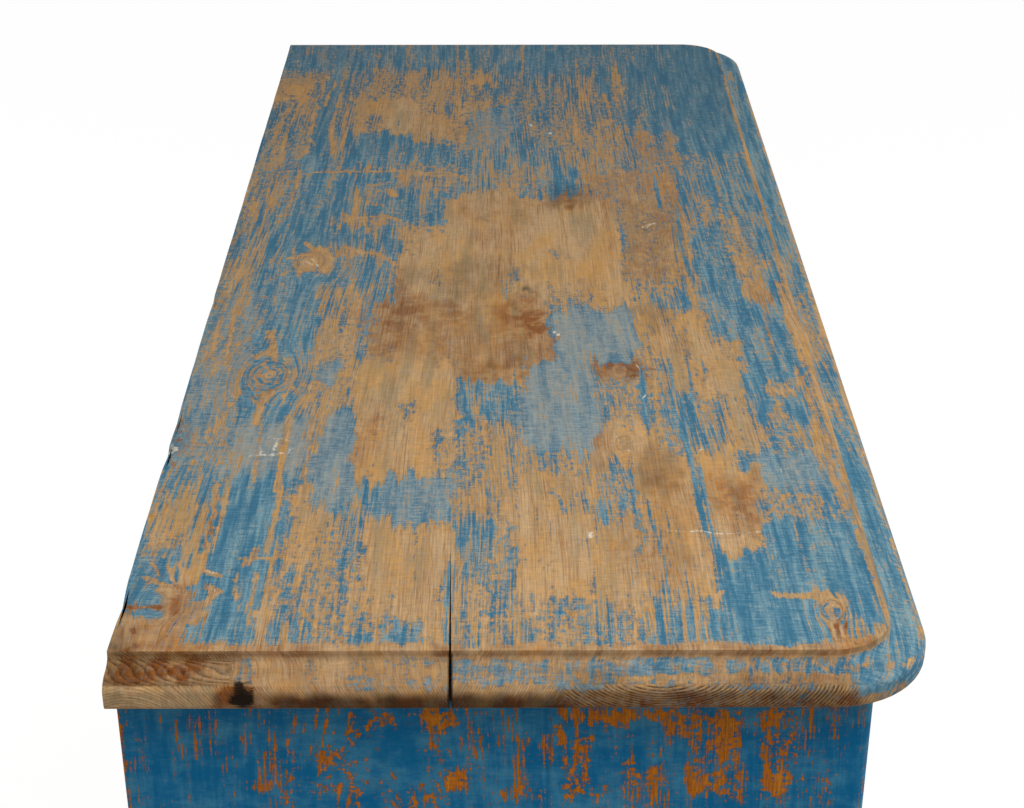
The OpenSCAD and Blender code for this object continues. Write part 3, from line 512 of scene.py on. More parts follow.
    rough = sum_of(tree, None, (bare, 0.1, 0.0), (speck, 0.25, -1.8), (chalky, 0.12, 0.0))
    height = sum_of(tree, None, (bare, -0.5, 0.0), (rings, 0.16, 0.0), (fibre, 0.25, 0.0),
                    (cross, 0.3, 0.0), (streak, 0.3, 0.0))
    finish_material(tree, whole, rough, height, 0.25 * MM)
    return material


def bare_wood(name, light, late, ring):
    """Planed pine that was never painted, browned by age and dust, with the grain of each board."""
    material, tree = new_material(name)
    grain = put(tree, "Attribute", (), "Vector", attribute_name="grain")
    grime_and_shade = put(tree, "Attribute", (), "Fac", attribute_name="grime_and_shade")
    place = put(tree, "TexCoord", (), "Object")
    rings = rings_of(tree, grain, ring)
    pine, fibre = pine_colours(tree, grain, rings, light, late)
    blotch = stretched(tree, place, (70, 70, 70), 4.0, 0.6)
    pine = laid_over(tree, pine, darker(late, 0.5), blotch, 0.45, 0.75, 0.0, 0.4)
    pine = put(tree, "Mix", (grime_and_shade, pine, linear(DUST)))
    rough = sum_of(tree, None, (fibre, 0.25, -2.2))
    height = sum_of(tree, None, (rings, 0.3, 0.0), (fibre, 0.5, 0.0))
    finish_material(tree, pine, rough, height, 0.2 * MM)
    return material


def old_metal(name, body, patina, roughness, metal, depth):
    """Hand-finished metal: a dark skin with lighter rubbed places, spotted by age and pitted."""
    material, tree = new_material(name)
    place = put(tree, "TexCoord", (), "Object")
    cloud = stretched(tree, place, (9, 9, 9), 4.0, 0.65)
    pits = stretched(tree, place, (1.1, 1.1, 1.1))
    share = sum_of(tree, None, (cloud, 1.0, 0.0), (pits, 0.3, 0.5))
    base = laid_over(tree, body, patina, share, 0.42, 0.64)
    rough = put(tree, "MapRange", (share, 0.35, 0.7, roughness - 0.1, roughness + 0.15),
                interpolation_type="LINEAR")
    height = sum_of(tree, None, (pits, 0.6, 0.0), (cloud, 0.6, 0.0))
    finish_material(tree, base, rough, height, depth, metal, 0.5)
    return material


FINISHES = {}


def make_finishes(settings):
    """Makes a material for each slot of the frame."""
    paint, wood = settings.paint, settings.wood
    # Grey-blue, bleached and rubbed thin, with fine streaks and broad patches of honey-brown pine
    FINISHES["worn_top_paint"] = worn_paint(
        "worn blue oil paint on the top",
        (paint.top_deep, paint.top_pale, paint.top_dark, paint.top_chalk),
        (wood.rubbed, wood.late, wood.fresh, wood.dull, wood.stain, wood.end_grain),
        wood.ring, streak_gain=1.4, marks_gain=0.65, run=0.8, width=0.84, dots=1.0, veil=0.26)
    # A deeper blue, cloudy from the brush, with orange chips that run down the grain
    FINISHES["blue_paint"] = worn_paint(
        "worn blue oil paint on the case",
        (paint.case_deep, paint.case_pale, paint.case_deep, paint.case_chalk),
        (wood.rubbed_case, wood.late_case, wood.fresh_case, wood.late_case, wood.stain,
         wood.end_grain),
        wood.ring, streak_gain=1.8, marks_gain=0.25, run=0.42, width=0.95, dots=0.35, veil=0.03)
    FINISHES["pegs_pine"] = FINISHES["blue_paint"]
    # Brown boards with soft clouds of dust, so that the inside looks old and dry
    FINISHES["bare_pine"] = bare_wood("planed pine, unpainted", tuple(wood.inside),
                                      tuple(wood.late), wood.ring * 1.2)
    # Nearly black, with brown bloom in its pits, so that it looks forged and long handled
    FINISHES["black_iron"] = old_metal("forged iron, blackened and rusty", linear("#2a2725"),
                                       linear("#4b3322"), 0.55, 0.75, 0.2 * MM)
    # Dull yellow under a brown film, brighter where fingers rub it
    FINISHES["aged_brass"] = old_metal("pressed brass, tarnished", linear("#8d6c35"),
                                       linear("#54401f"), 0.42, 1.0, 0.08 * MM)


# Grain and wear

def lay_grain(piece, along, boxes, seed=1):
    """Stores for each vertex its place along the grain, its distance from the heart of the tree and
    its place across the board. Each loose board has a heart line of its own, beside one face."""
    places = points_of(piece)
    grain = np.zeros_like(places)
    ends = np.zeros(len(places))
    normals = np.empty(len(places) * 3)
    piece.data.vertices.foreach_get("normal", normals)
    normals = normals.reshape(-1, 3)
    for number, (low, high) in enumerate(boxes):
        inside = np.all((places > low - 1e-4) & (places < high + 1e-4), axis=1)
        size = high - low
        across, deep = sorted((a for a in range(3) if a != along), key=lambda a: -size[a])
        turn = seed * 2.399 + number * 1.7
        a, b, c = places[inside, along], places[inside, across], places[inside, deep]
        heart_b = (low[across] + high[across]) / 2 + size[across] * 0.6 * sin(turn)
        heart_c = (low[deep] if sin(turn * 3) > 0 else high[deep])
        heart_c += (-1 if sin(turn * 3) > 0 else 1) * (0.035 + 0.02 * cos(turn * 2))
        b = b + 0.004 * np.sin(a / 0.11 + turn) - heart_b
        c = c + 0.012 * np.sin(a / 0.29 + turn * 2) - heart_c
        grain[inside] = np.stack([a + number * 0.37 + seed, np.hypot(b, c), b + number], 1)
        ends[inside] = np.abs(normals[inside, along]) ** 2
    write(piece, "grain", grain)
    write(piece, "ends", ends * 0.6)


def edge_distance(places, boxes):
    """Distance of each vertex to the nearest edge of its box, in millimetres."""
    out = np.full(len(places), 50.0)
    for low, high in boxes:
        inside = np.all((places > low - 1e-4) & (places < high + 1e-4), axis=1)
        gaps = np.sort(np.minimum(places[inside] - low, high - places[inside]), axis=1)
        out[inside] = np.clip(gaps[:, 1], 0, None) / MM
    return out


def lay_age(piece, wear, chalk=None, stain=None, grime_and_shade=None, light=None):
    """Stores what years of use have done to each vertex, and the painted shade that grime_and_shade
    also carries. Chalk under 0 is darker paint: paint that the sun never reached, and towards the
    far end of the top partly painted shade; stain under 0 is wood scoured to the colour of straw."""
    blank = np.zeros(len(piece.data.vertices))
    write(piece, "wear", wear)
    for name, values in (("chalk", chalk), ("stain", stain), ("grime_and_shade", grime_and_shade), ("light", light)):
        write(piece, name, blank if values is None else np.clip(values, -1, 1))


def dressed(node, along, settings, seed=1, base=0.08, patches=None, fine=(), leave=None, inset=()):
    """A generic board of the case: softened, cut into cells, with its grain, and worn at its edges.
    The places in fine, an axis and a list, are cut as well, and so are the distances in inset from
    each end and each long side."""
    shape = settings.shape
    piece = copy_of(node, "dressed_" + node, shape.arris, leave)
    boxes = islands(piece)
    low = np.min([b[0] for b in boxes], axis=0)
    high = np.max([b[1] for b in boxes], axis=0)
    for axis in range(3):
        cut(piece, axis, cells(low[axis], high[axis], shape.case_cell))
    for axis, planes in fine:
        cut(piece, axis, [p for p in planes if low[axis] < p < high[axis]])
    if inset:
        for axis in (0, 2):
            cut(piece, axis, [p for step in inset for p in (low[axis] + step, high[axis] - step)])
    if leave:
        # The glue joint that leave picks out is shut
        towards = 1 if high[1] < 0 else -1
        beside = np.array([float(leave(p)) for p in points_of(piece)])
        move(piece, 1, towards * 0.15 * MM * beside)
    places = points_of(piece)
    lay_grain(piece, along, boxes, seed)
    edge = edge_distance(places, boxes)
    slow = drift(places, 130, seed)
    quick = drift(places, 26, seed + 5)
    run = [1.0, 1.0, 1.0]
    run[along] = 0.35
    flakes = np.clip(drift(places * run, 17, seed + 9) - 0.18, 0, 1)
    wear = base + 0.25 * slow + 0.1 * quick + 1.1 * flakes
    wear += 0.75 * np.exp(-edge / 2.4) * (0.55 + 0.6 * quick) + 0.2 * np.exp(-edge / 14)
    grime_and_shade = np.zeros(len(places))
    if patches:
        wear, grime_and_shade = patches(places, wear, grime_and_shade)
    lay_age(piece, wear, chalk=0.1 + 0.4 * slow, grime_and_shade=grime_and_shade)
    piece.data.materials.append(FINISHES[SLOT_OF[node]])
    smooth(piece)
    seat(piece, node)
    return piece


# The top. Patches are (x from, x to, y from, y to, level) in millimetres, laid one over the other.
# Level 0 keeps the paint, 0.5 is half worn through and 1 is bare.

TOP_WEAR = (
    # Rear board, near third
    (-612, -200, 44, 252, 0.34), (-300, -196, 208, 252, 0.3), (-252, -198, 162, 216, 0.5),
    (-232, -198, 133, 152, 0.1), (-292, -232, 118, 166, 0.66), (-236, -198, 118, 134, 0.8),
    (-300, -200, 45, 120, 1.15), (-300, -245, 166, 206, 0.1), (-264, -250, 168, 182, 0.85),
    (-280, -254, 192, 199, 0.8), (-304, -268, 72, 88, 0.56), (-350, -300, 205, 242, 0.38),
    (-382, -300, 130, 206, 0.1), (-595, -380, 159, 205, -0.04), (-595, -350, 152, 160, 0.36),
    (-396, -288, 117, 144, -0.02), (-348, -290, 142, 152, 0.62), (-385, -288, 45, 118, 1.0),
    (-402, -318, 34, 62, 0.62), (-490, -398, 124, 152, 0.92), (-480, -404, 212, 248, 0.66),
    (-420, -375, 112, 140, 0.12), (-442, -374, 44, 97, 0.12), (-500, -420, 100, 128, 0.5),
    (-600, -442, 48, 104, 1.04), (-592, -500, 104, 154, 0.48), (-600, -480, 205, 252, 0.34),
    (-592, -500, 168, 205, 0.02), (-514, -478, 226, 252, 0.16), (-592, -560, 118, 200, 0.3),
    (-592, -562, 58, 118, 0.06), (-560, -505, 96, 128, 0.62), (-590, -540, 162, 190, 0.04),
    (-592, -552, 206, 254, 0.86), (-536, -514, 206, 216, 0.75), (-500, -484, 228, 240, 0.4),
    # Front board, near third
    (-612, -200, -250, 44, 0.42), (-304, -228, 2, 40, 0.2), (-232, -198, -8, 50, 0.98),
    (-350, -200, -56, -4, 0.02), (-238, -200, -98, -62, 0.92), (-330, -236, -100, -58, 0.46),
    (-262, -198, -122, -100, 0.46), (-262, -198, -168, -112, 0.88), (-330, -252, -150, -112, 0.4),
    (-262, -198, -226, -172, 0.1), (-350, -262, -165, -146, 0.7), (-350, -290, -178, -150, 0.8),
    (-300, -262, -226, -176, 0.1), (-264, -240, -206, -184, 0.72), (-298, -284, -196, -184, 0.7),
    (-240, -224, -216, -204, 0.62), (-350, -300, 4, 36, 0.66), (-368, -308, -98, -56, 0.96),
    (-400, -345, -226, -150, -0.02), (-402, -345, -8, 34, 0.52), (-440, -400, 4, 44, 0.7),
    (-520, -438, 4, 44, 0.36), (-592, -520, 0, 44, 0.56), (-385, -345, -52, 0, 0.56),
    (-535, -382, -46, 0, 1.06), (-430, -398, -54, -22, 0.56), (-450, -352, -140, -80, 0.98),
    (-446, -362, -164, -132, 1.12), (-520, -440, -140, -48, 0.9), (-440, -366, -80, -50, 0.46),
    (-420, -400, -74, -68, 0.0), (-440, -418, -58, -50, 0.0), (-540, -470, -146, -100, 0.86),
    (-490, -448, -158, -138, 0.9), (-480, -392, -82, -76, 0.3), (-596, -440, -222, -165, 0.06),
    (-596, -486, -222, -124, 0.0), (-592, -530, -50, 0, 0.46), (-560, -520, -112, -50, 0.6),
    (-592, -555, -112, -56, 0.42), (-592, -542, -130, -96, 0.1), (-560, -530, -204, -184, 0.86),
    (-592, -556, -214, -186, 0.5),
    # Middle
    (-198, 215, 44, 252, 0.3), (-60, 200, 214, 252, 0.46), (-198, -60, 205, 252, 0.34),
    (-200, 160, 160, 204, 0.16), (60, 200, 100, 160, 0.18), (120, 160, 122, 150, 0.36),
    (150, 200, 96, 110, 0.66), (60, 90, 116, 164, 0.6), (150, 200, 52, 100, 0.5),
    (-32, 14, 158, 196, 0.84), (-60, 60, 100, 160, 0.3), (0, 14, 112, 160, 0.66),
    (-60, -20, 104, 150, 0.3), (-96, -28, 88, 128, 0.3), (-150, -60, 124, 162, 0.6),
    (-200, -150, 130, 160, 0.66), (-198, -132, 112, 132, 0.42), (-198, -90, -24, 114, 1.1),
    (-100, 20, 14, 100, 1.06), (-60, -42, 52, 84, 0.7), (20, 64, 56, 100, 0.94),
    (56, 104, 48, 80, 0.2), (-50, 60, 10, 64, 1.0), (120, 200, 24, 64, 0.28),
    (104, 140, -34, 44, 0.96), (0, 134, -18, 60, 1.14), (-60, 140, -92, 40, 1.12),
    (-14, 10, -52, -26, 0.5), (-62, -22, -2, 8, 0.4), (-198, 190, -252, -94, 0.5),
    (-94, -56, -26, 4, 0.95), (140, 200, -60, 4, 0.22), (150, 200, -20, 20, 0.5),
    (120, 200, -150, -62, 0.6), (-198, -102, -94, -28, 0.04), (-100, -52, -60, -28, 0.6),
    (-102, -50, -98, -60, 0.9), (26, 150, -152, -94, 0.62), (-50, 30, -150, -94, 0.7),
    (-112, -84, -142, -106, 0.3), (-126, -112, -150, -102, 0.7), (-200, -120, -160, -100, 0.82),
    (-198, -150, -176, -150, 0.8), (-160, -12, -226, -152, 0.08), (-198, -150, -226, -176, 0.1),
    (0, 200, -226, -152, 0.34), (100, 200, -226, -176, 0.14), (-36, 70, -226, -186, 0.36),
    (-100, 0, -206, -188, 0.5), (-20, 60, -184, -156, 0.1), (10, 100, -226, -206, 0.2),
    # Far third
    (200, 612, -252, 252, 0.28), (200, 600, 204, 252, 0.4), (200, 500, 184, 203, 0.06),
    (240, 592, 201, 205, 0.72), (455, 592, 205, 217, 0.72), (400, 470, 214, 250, 0.86),
    (200, 600, 150, 184, 0.34), (420, 500, 122, 138, -0.05), (275, 405, 6, 162, 0.6),
    (360, 410, 100, 162, 1.0), (300, 352, 62, 130, 0.95), (250, 310, 78, 100, 0.9),
    (280, 330, 62, 76, 0.9), (410, 520, 30, 150, 0.5), (450, 480, 20, 44, 0.86),
    (400, 470, 70, 90, 0.7), (265, 372, 4, 46, 0.3), (210, 300, 100, 160, 0.1),
    (210, 275, 60, 130, 0.24), (216, 290, -34, -2, 0.46), (200, 450, -50, 0, 0.34),
    (200, 330, -165, -46, 0.46), (330, 540, -100, -48, 0.4), (410, 500, -98, -86, -0.05),
    (230, 300, -156, -112, 0.5), (330, 350, -100, -90, 0.56), (204, 210, 48, 190, 0.74),
    (500, 600, -120, 250, 0.2), (540, 600, 40, 130, 0.05), (250, 600, -230, -164, -0.1),
    (300, 600, -164, -112, 0.1), (420, 510, -114, -109, 0.62), (480, 600, -90, 20, 0.1),
)
# Thin bare lines along the grain
TOP_LINES = (
    (-480, -388, 204, 208, 0.95), (-400, -285, 167, 171, 0.9), (-480, -396, 164, 168, 0.9),
    (-580, -480, 157, 161, 0.85), (-590, -500, 176, 178, 0.7), (-560, -420, 150, 153, 0.8),
    (-386, -300, 187, 190, 0.6), (-345, -290, 145, 148, 0.8), (-590, -440, 140, 143, 0.75),
    (-590, -470, 132, 135, 0.7), (-590, -480, 123, 126, 0.75), (-590, -520, 80, 83, 0.3),
    (-590, -490, 44, 47, 0.2), (-560, -400, 38, 41, 0.65), (-340, -260, 28, 31, 0.7),
    (-590, -500, -70, -67, 0.8), (-590, -510, -100, -97, 0.85), (-590, -520, -108, -105, 0.8),
    (-590, -530, -114, -112, 0.8), (-520, -400, -90, -88, 0.1), (-500, -360, -126, -123, 0.1),
    (-460, -300, -122, -119, 0.05), (-320, -210, -98, -95, 0.1), (-330, -210, -106, -104, 0.8),
    (-300, -205, -116, -114, 0.1), (-300, -205, -128, -126, 0.1), (-240, -200, -140, -138, 0.1),
    (-590, -556, -192, -190, 0.9), (-590, -556, -197, -195, 0.9), (-590, -560, -203, -201, 0.8),
    (-500, -430, -186, -184, 0.6), (-420, -380, -206, -203, 0.6), (-380, -300, -214, -211, 0.6),
    (-200, -60, 223, 226, 0.8), (-200, -20, 233, 236, 0.75), (-160, 60, 214, 217, 0.1),
    (20, 200, 224, 227, 0.8), (80, 200, 206, 209, 0.7), (-40, 90, 198, 201, 0.0),
    (0, 190, 186, 190, -0.1), (-190, -60, 178, 184, 0.0), (60, 200, 148, 151, 0.7),
    (-190, -20, 166, 169, 0.1), (0, 200, -96, -93, 0.45), (40, 200, -104, -101, 0.75),
    (-60, 100, -147, -144, 0.15), (-200, -90, -92, -89, 0.1), (0, 160, -186, -183, 0.7),
    (-30, 90, -198, -194, 0.8), (-190, -60, -206, -203, 0.6), (100, 200, -132, -129, 0.1),
    (210, 420, 222, 225, 0.75), (210, 380, 232, 235, 0.7), (300, 600, 188, 191, 0.0),
    (240, 500, 178, 181, 0.7), (210, 480, 167, 170, 0.65), (260, 520, 157, 160, 0.7),
    (380, 590, 145, 148, 0.65), (420, 590, 110, 113, 0.7), (300, 600, 61, 64, 0.7),
    (440, 560, 50, 53, 0.7), (470, 600, -12, -9, 0.6), (220, 420, -60, -57, 0.6),
    (320, 540, -70, -67, 0.6), (340, 480, -80, -77, 0.62), (250, 420, -100, -97, 0.66),
    (380, 520, -110, -107, 0.7), (230, 400, -124, -121, 0.6), (400, 540, -88, -84, 0.55),
)
# Chalk: over 0 paint turned to chalk, under 0 darker paint; towards the far end the darker paint is
# partly painted shade
TOP_CHALK = (
    (-120, 160, 60, 252, -0.22), (-600, -480, 200, 252, -0.2), (-300, -60, 205, 252, 0.7),
    (-382, -292, 120, 206, 0.85), (-354, -318, 165, 190, 1.2), (-420, -288, 114, 146, 0.75),
    (-445, -372, 40, 97, 0.65), (-350, -196, -60, 2, 0.8), (-250, -200, 128, 156, 0.7),
    (-370, -300, 205, 245, 0.7), (-400, -340, -226, -150, 0.6), (-198, -100, -98, -26, 0.85),
    (-160, -10, -226, -152, 0.3), (-596, -440, -226, -150, 0.02), (-595, -385, 158, 206, -0.05),
    (265, 372, 2, 48, 0.75), (-592, -562, 56, 120, 0.4), (-500, -460, 222, 252, 0.6),
    (0, 200, 206, 252, 0.2), (-130, -10, 130, 205, 0.4), (480, 600, -60, 252, -0.35),
    (-196, -120, -226, -176, 0.3), (-70, 30, -60, -20, 0.7),
)
# Brown stains, in which resin or oil has soaked into the wood
TOP_STAIN = (
    (-612, 612, -252, 252, 0.0), (-198, -96, -26, 116, 0.3), (-232, -198, -8, 50, 0.55),
    (-158, -94, 62, 116, 0.62), (-160, -94, -28, 14, 0.66), (30, 140, -20, 50, 0.2),
    (-200, -92, 94, 118, 0.5), (-200, -104, 52, 76, 0.4), (-186, -112, -27, -10, 0.95),
    (-200, -150, 0, 10, 0.45), (-140, -96, -26, -4, 0.6), (-234, -196, -96, -60, 0.9),
    (-446, -376, -164, -130, 0.6), (-396, -350, -112, -84, 0.4), (-450, -400, -124, -84, 0.25),
    (18, 110, -146, -104, 0.35), (-140, -96, 96, 128, 0.7), (-128, -100, 40, 66, 0.55),
    (-160, -110, -26, -8, 0.9), (100, 200, -160, -62, 0.34), (110, 160, -62, -30, 0.6),
    (-50, 40, -128, -96, 0.35), (-332, -262, 100, 118, 0.45), (-385, -290, 108, 118, 0.4),
    (-592, -500, 190, 252, 0.4), (-352, -300, 238, 252, 1.0), (-330, -300, 242, 252, 1.0),
    (-266, -236, 182, 206, 0.4), (-360, -310, -62, -50, 0.5), (-520, -440, -110, -60, 0.2),
    (-90, -20, 92, 102, 0.55), (-200, -60, -208, -196, 0.4), (540, 600, 180, 252, 0.5),
    (200, 300, -160, -110, 0.3), (0, 140, -250, -222, 0.6), (-610, -200, -250, -222, 0.25),
)
# Grey-brown marks left by dirt and by wet pots
TOP_SOOT = (
    (-612, 612, -252, 252, 0.0), (-62, -20, 60, 96, 0.16), (-78, -4, 8, 62, 0.24),
    (-86, -58, 22, 56, 0.3), (-44, -22, -22, 10, 0.2), (-200, -100, -24, 116, 0.08),
    (-232, -198, 0, 48, 0.18), (-200, -150, 30, 60, 0.12), (-82, -67, -18, -6, 0.85),
    (-50, -20, -140, -120, 0.62), (-134, -112, -122, -104, 0.3), (-36, -20, -101, -94, 0.5),
    (110, 160, -66, -30, 0.34), (140, 158, -72, -50, 0.3), (-4, 18, -126, -118, 0.5),
    (-120, -100, -118, -96, 0.24), (-150, -120, -112, -100, 0.2), (-400, -340, -108, -82, 0.26),
    (-385, -345, -112, -104, 0.3), (-480, -462, -94, -80, 0.3), (-500, -440, -110, -60, 0.1),
    (-345, -250, 246, 252, 0.3), (-592, -560, 236, 252, 0.4), (-555, -530, 246, 252, 0.3),
    (-60, 120, -150, -96, 0.12), (-200, -150, -140, -120, 0.16), (70, 92, 24, 32, 0.24),
    (280, 340, 30, 60, 0.1), (-238, -204, -98, -62, 0.14), (-100, 100, 244, 252, 0.12),
    (-612, 612, -232, -226, 0.1),
)
# The left end's moulding: y from, y to, from and to down the moulding, level
END_WEAR = (
    (176, 256, -1, 34, 1.7), (174, 240, 4, 19, 1.2), (60, 134, 6, 20, 0.8), (40, 104, 4, 10, 0.6),
    (46, 112, 15, 24, 0.54), (-20, 44, 5, 20, 0.44), (-60, -16, 6, 24, 0.46),
    (-116, -60, 4, 15, 0.22), (-100, -50, 17, 24, 0.6), (-200, -116, 5, 14, 0.42),
    (-180, -112, 16, 24, 0.7), (-260, -196, 2, 30, 0.12), (-228, -221, 8, 12, 1.0),
    (-224, -217, 15, 18, 0.9), (-206, -199, 9, 13, 0.8), (160, 171, 1, 19, 0.42),
    (-190, -20, 25, 34, 0.9), (-256, 40, 0, 3, 0.9), (-256, -200, 29, 34, 0.7),
)
# Stains of the left end, with painted shade low on the nose
END_STAIN_AND_SHADE = (
    (174, 252, 3, 20, 1.0), (-200, 152, 26, 42, 0.9), (40, 150, 19, 27, 0.3),
    (172, 186, 2, 20, 0.4), (-190, -120, 14, 22, 0.5),
)
# Dirt and painted shade on the left end: darkest at the top of the hollow and low on the nose
END_SOOT_AND_SHADE = (
    (172, 252, 1, 7, 0.34), (222, 248, 4, 12, 0.26), (-60, 172, 1, 5, 0.16),
    (-30, 152, 27, 42, 0.75), (-200, -20, 23, 34, 0.4), (-200, -110, 14, 22, 0.3),
    (-66, -30, 12, 24, 0.34), (180, 252, 18, 21, 0.35), (-256, -200, 2, 26, 0.06),
)
# Knots: x, y, radius, how far the rings bend round them, how strongly they show
TOP_KNOTS = (
    (-534, 228, 10, 1.5, 0.1), (-225, 190, 15, 1.5, 1.1), (-12, 178, 13, 1.2, 0.7),
    (432, 232, 13, 1.3, 0.6), (-333, -75, 7, 1.1, 0.5), (-545, -192, 7, 1.1, 0.8),
    (65, -118, 9, 1.2, 0.6), (-218, -78, 8, 1.2, 0.1), (-326, 250, 12, 1.2, 0.4),
)
# Strokes: x, y of one end, x, y of the other, half width, level
TOP_STROKES = (
    (-489, 122, -485, 150, 1.8, 0.9), (-485, 150, -484, 182, 1.6, 0.8),
    (-472, 173, -490, 178, 3.5, 0.8), (-497, 204, -502, 193, 2.5, 1.0),
    (-514, 199, -522, 193, 3.4, 0.95), (-522, 193, -538, 196, 3, 0.92),
    (-506, 210, -520, 224, 5, 0.9), (-484, 206, -512, 213, 5, 0.95),
    (-520, 217, -580, 214, 7, 0.92), (-538, 202, -556, 204, 5, 0.8), (-556, 242, -590, 240, 8, 1.0),
    (-562, 224, -586, 222, 8, 0.9), (-540, 246, -541, 226, 2.2, 0.95),
    (-506, 240, -514, 226, 2.2, 0.8), (-516, 224, -532, 217, 4, 0.95),
    (-508, 222, -494, 226, 1.4, 0.8), (-508, 216, -490, 219, 1.2, 0.85),
    (-506, 230, -490, 238, 1.1, 0.7), (-524, 236, -532, 232, 6, -0.1),
    (-548, 238, -550, 226, 4, 0.05), (-514, 202, -518, 208, 3, 0.1),
    (-400, 168, -290, 170, 1.6, 0.85), (-480, 205, -388, 208, 1.8, 0.95),
    (-560, 168, -500, 170, 1.2, 0.8), (-590, 160, -545, 161, 4, 0.8),
    (-530, 180, -500, 181, 1.3, 0.85), (-300, 150, -440, 148, 1.4, 0.8),
    (-250, 188, -300, 192, 3, 0.9), (-196, 202, -178, 190, 3, 0.8),
    (-246, 208, -330, 222, 1.5, 0.8), (196, 62, 199, 120, 2.2, 0.95),
    (199, 120, 197, 190, 1.9, 0.9), (193, 100, 186, 52, 2.4, 0.95), (186, 52, 172, 46, 3, 0.9),
    (84, 146, 90, 118, 2.6, 0.9), (90, 118, 78, 104, 2.2, 0.85), (76, 134, 48, 132, 1.6, 0.85),
    (20, 150, 9, 136, 3, 0.9), (9, 136, 4, 118, 2, 0.85), (3, 118, -12, 106, 2, 0.8),
    (62, 78, 60, 64, 2.2, 0.85), (152, 118, 138, 112, 4, 0.85), (170, 118, 164, 136, 1.8, 0.75),
    (120, 136, 112, 120, 1.8, 0.8), (-150, 196, -196, 190, 3.6, 0.8), (30, 186, 8, 172, 2.6, 0.8),
    (-4, 196, 6, 170, 2.4, 0.85), (-30, 190, -48, 206, 1.6, 0.7), (460, 190, 380, 196, 1.6, 0.75),
    (404, 168, 398, 150, 2.4, 0.9), (500, 152, 496, 142, 3, 0.8), (60, -170, 96, -172, 1.6, 0.8),
    (-10, -190, -70, -194, 3.4, 0.8), (-60, -220, -180, -222, 4.5, 0.95),
    (-230, -216, -420, -218, 3, 0.8), (150, -226, 260, -226, 2.4, 0.8),
    (-250, -165, -262, -140, 2.2, 0.85), (-526, -160, -534, -200, 3.4, 0.8),
    (-540, -120, -524, -126, 2.0, 0.9), (-556, 30, -548, -10, 2.2, 0.8),
    (-520, -20, -532, -60, 2.0, 0.9), (-600, -196, -560, -192, 3.4, 0.9),
)
# The star of resin round a small knot
TOP_STAR = (
    (-214, -78, -200, -62, 3.4, 1.1), (-214, -78, -228, -96, 3.6, 1.1),
    (-214, -78, -200, -92, 3, 0.9), (-214, -78, -226, -64, 3, 1.0), (-214, -78, -194, -78, 3, 1.0),
    (-214, -78, -238, -82, 2.4, 0.8), (-212, -66, -208, -52, 2.4, 0.7),
    (-214, -90, -216, -104, 2.2, 0.7), (-538, 246, -541, 228, 3, 1.2),
    (-562, 246, -586, 240, 3, 1.1), (-565, 236, -580, 234, 2, 1.0), (-516, 218, -548, 216, 3, 0.8),
    (-548, -194, -575, -192, 1.4, 1.0), (-552, -198, -590, -197, 1.4, 1.0),
    (-560, -188, -592, -187, 1.2, 1.0), (-468, -90, -488, -78, 1.2, 1.0),
    (-300, 248, -352, 250, 4, 1.2), (-420, 205, -470, 207, 1.6, 0.8),
    (-200, -94, -236, -97, 1.4, 0.6), (-475, 174, -492, 178, 3, 0.6),
)
# Scratches and scrapes
TOP_SCRATCHES = (
    (-451, -98, -453, -120, 0.9, 0.45), (-453, -120, -455, -142, 1.0, 0.6),
    (-455, -142, -453, -164, 0.8, 0.45), (-326, 172, -348, 176, 1.6, 0.5),
    (-332, 186, -346, 184, 1.8, 0.4), (-350, 190, -346, 168, 1.5, 0.5),
    (-322, 184, -326, 166, 1.4, 0.4), (-336, 162, -352, 166, 1.2, 0.4),
    (-360, -181, -374, -182, 0.9, 0.4), (-326, -70, -344, -78, 0.9, 0.35),
    (-326, -80, -342, -70, 0.9, 0.35), (-320, -76, -334, -82, 0.8, 0.3),
    (-498, 203, -502, 194, 1.6, 0.4), (-516, 195, -528, 192, 1.6, 0.3),
    (-8, 184, -22, 172, 1.6, 0.4), (-6, 176, -24, 168, 1.4, 0.4), (60, -112, 68, -122, 1.6, 0.4),
    (52, -110, 58, -122, 1.4, 0.35), (-210, -92, -218, -93, 0.8, 0.5),
    (76, -116, 70, -114, 1.2, 0.4), (330, -14, 322, -17, 1.6, 0.8), (58, -116, 70, -124, 1.4, 0.5),
    (-151, -29, -155, -32, 1.2, 0.9), (-262, -92, -259, -95, 1.0, 0.8),
    (-318, -68, -330, -72, 1.0, 0.4),
)
# Boxes (x from, x to, y from, y to) that need finer cells than the rest of the field
TOP_FINE = (
    (-592, -478, 184, 252), (-494, -468, 118, 184), (182, 204, 44, 194), (-14, 96, 100, 156),
    (-240, -192, -106, -50), (-100, -58, 182, 210), (-356, -316, 160, 198), (-460, -446, -168, -94),
    (-596, -520, -204, -116), (-346, -316, -86, -66), (-262, -246, -168, -138), (-12, 34, 168, 200),
)
# Pale marks: x from, x to, y from, y to, how pale
TOP_LIGHT = (
    (-349, -341, 246, 251, 0.9), (-342, -335, 243, 248, 0.8), (-337, -330, 246, 250, 0.6),
    (-459, -451, -48, -44, 0.7), (-463, -455, -52, -49, 0.5), (298, 305, -37, -33, 0.6),
    (-346, -326, -84, -66, 0.12), (-18, -2, 168, 190, 0.12), (56, 74, -124, -112, 0.15),
    (146, 156, 246, 251, 0.5), (-345, -340, -130, -127, 0.7), (-135, -125, -168, -165, 0.4),
    (-212, -209, -210, -200, 0.4), (-542, -532, -194, -190, 0.35), (-488, -480, 196, 206, 0.2),
)
# Knocks in the top's raw rear edge: x, size, depth
TOP_DENTS = ((-541, 16, 2.6), (-352, 12, 1.8), (-300, 18, 1.2), (-95, 14, 1.4))
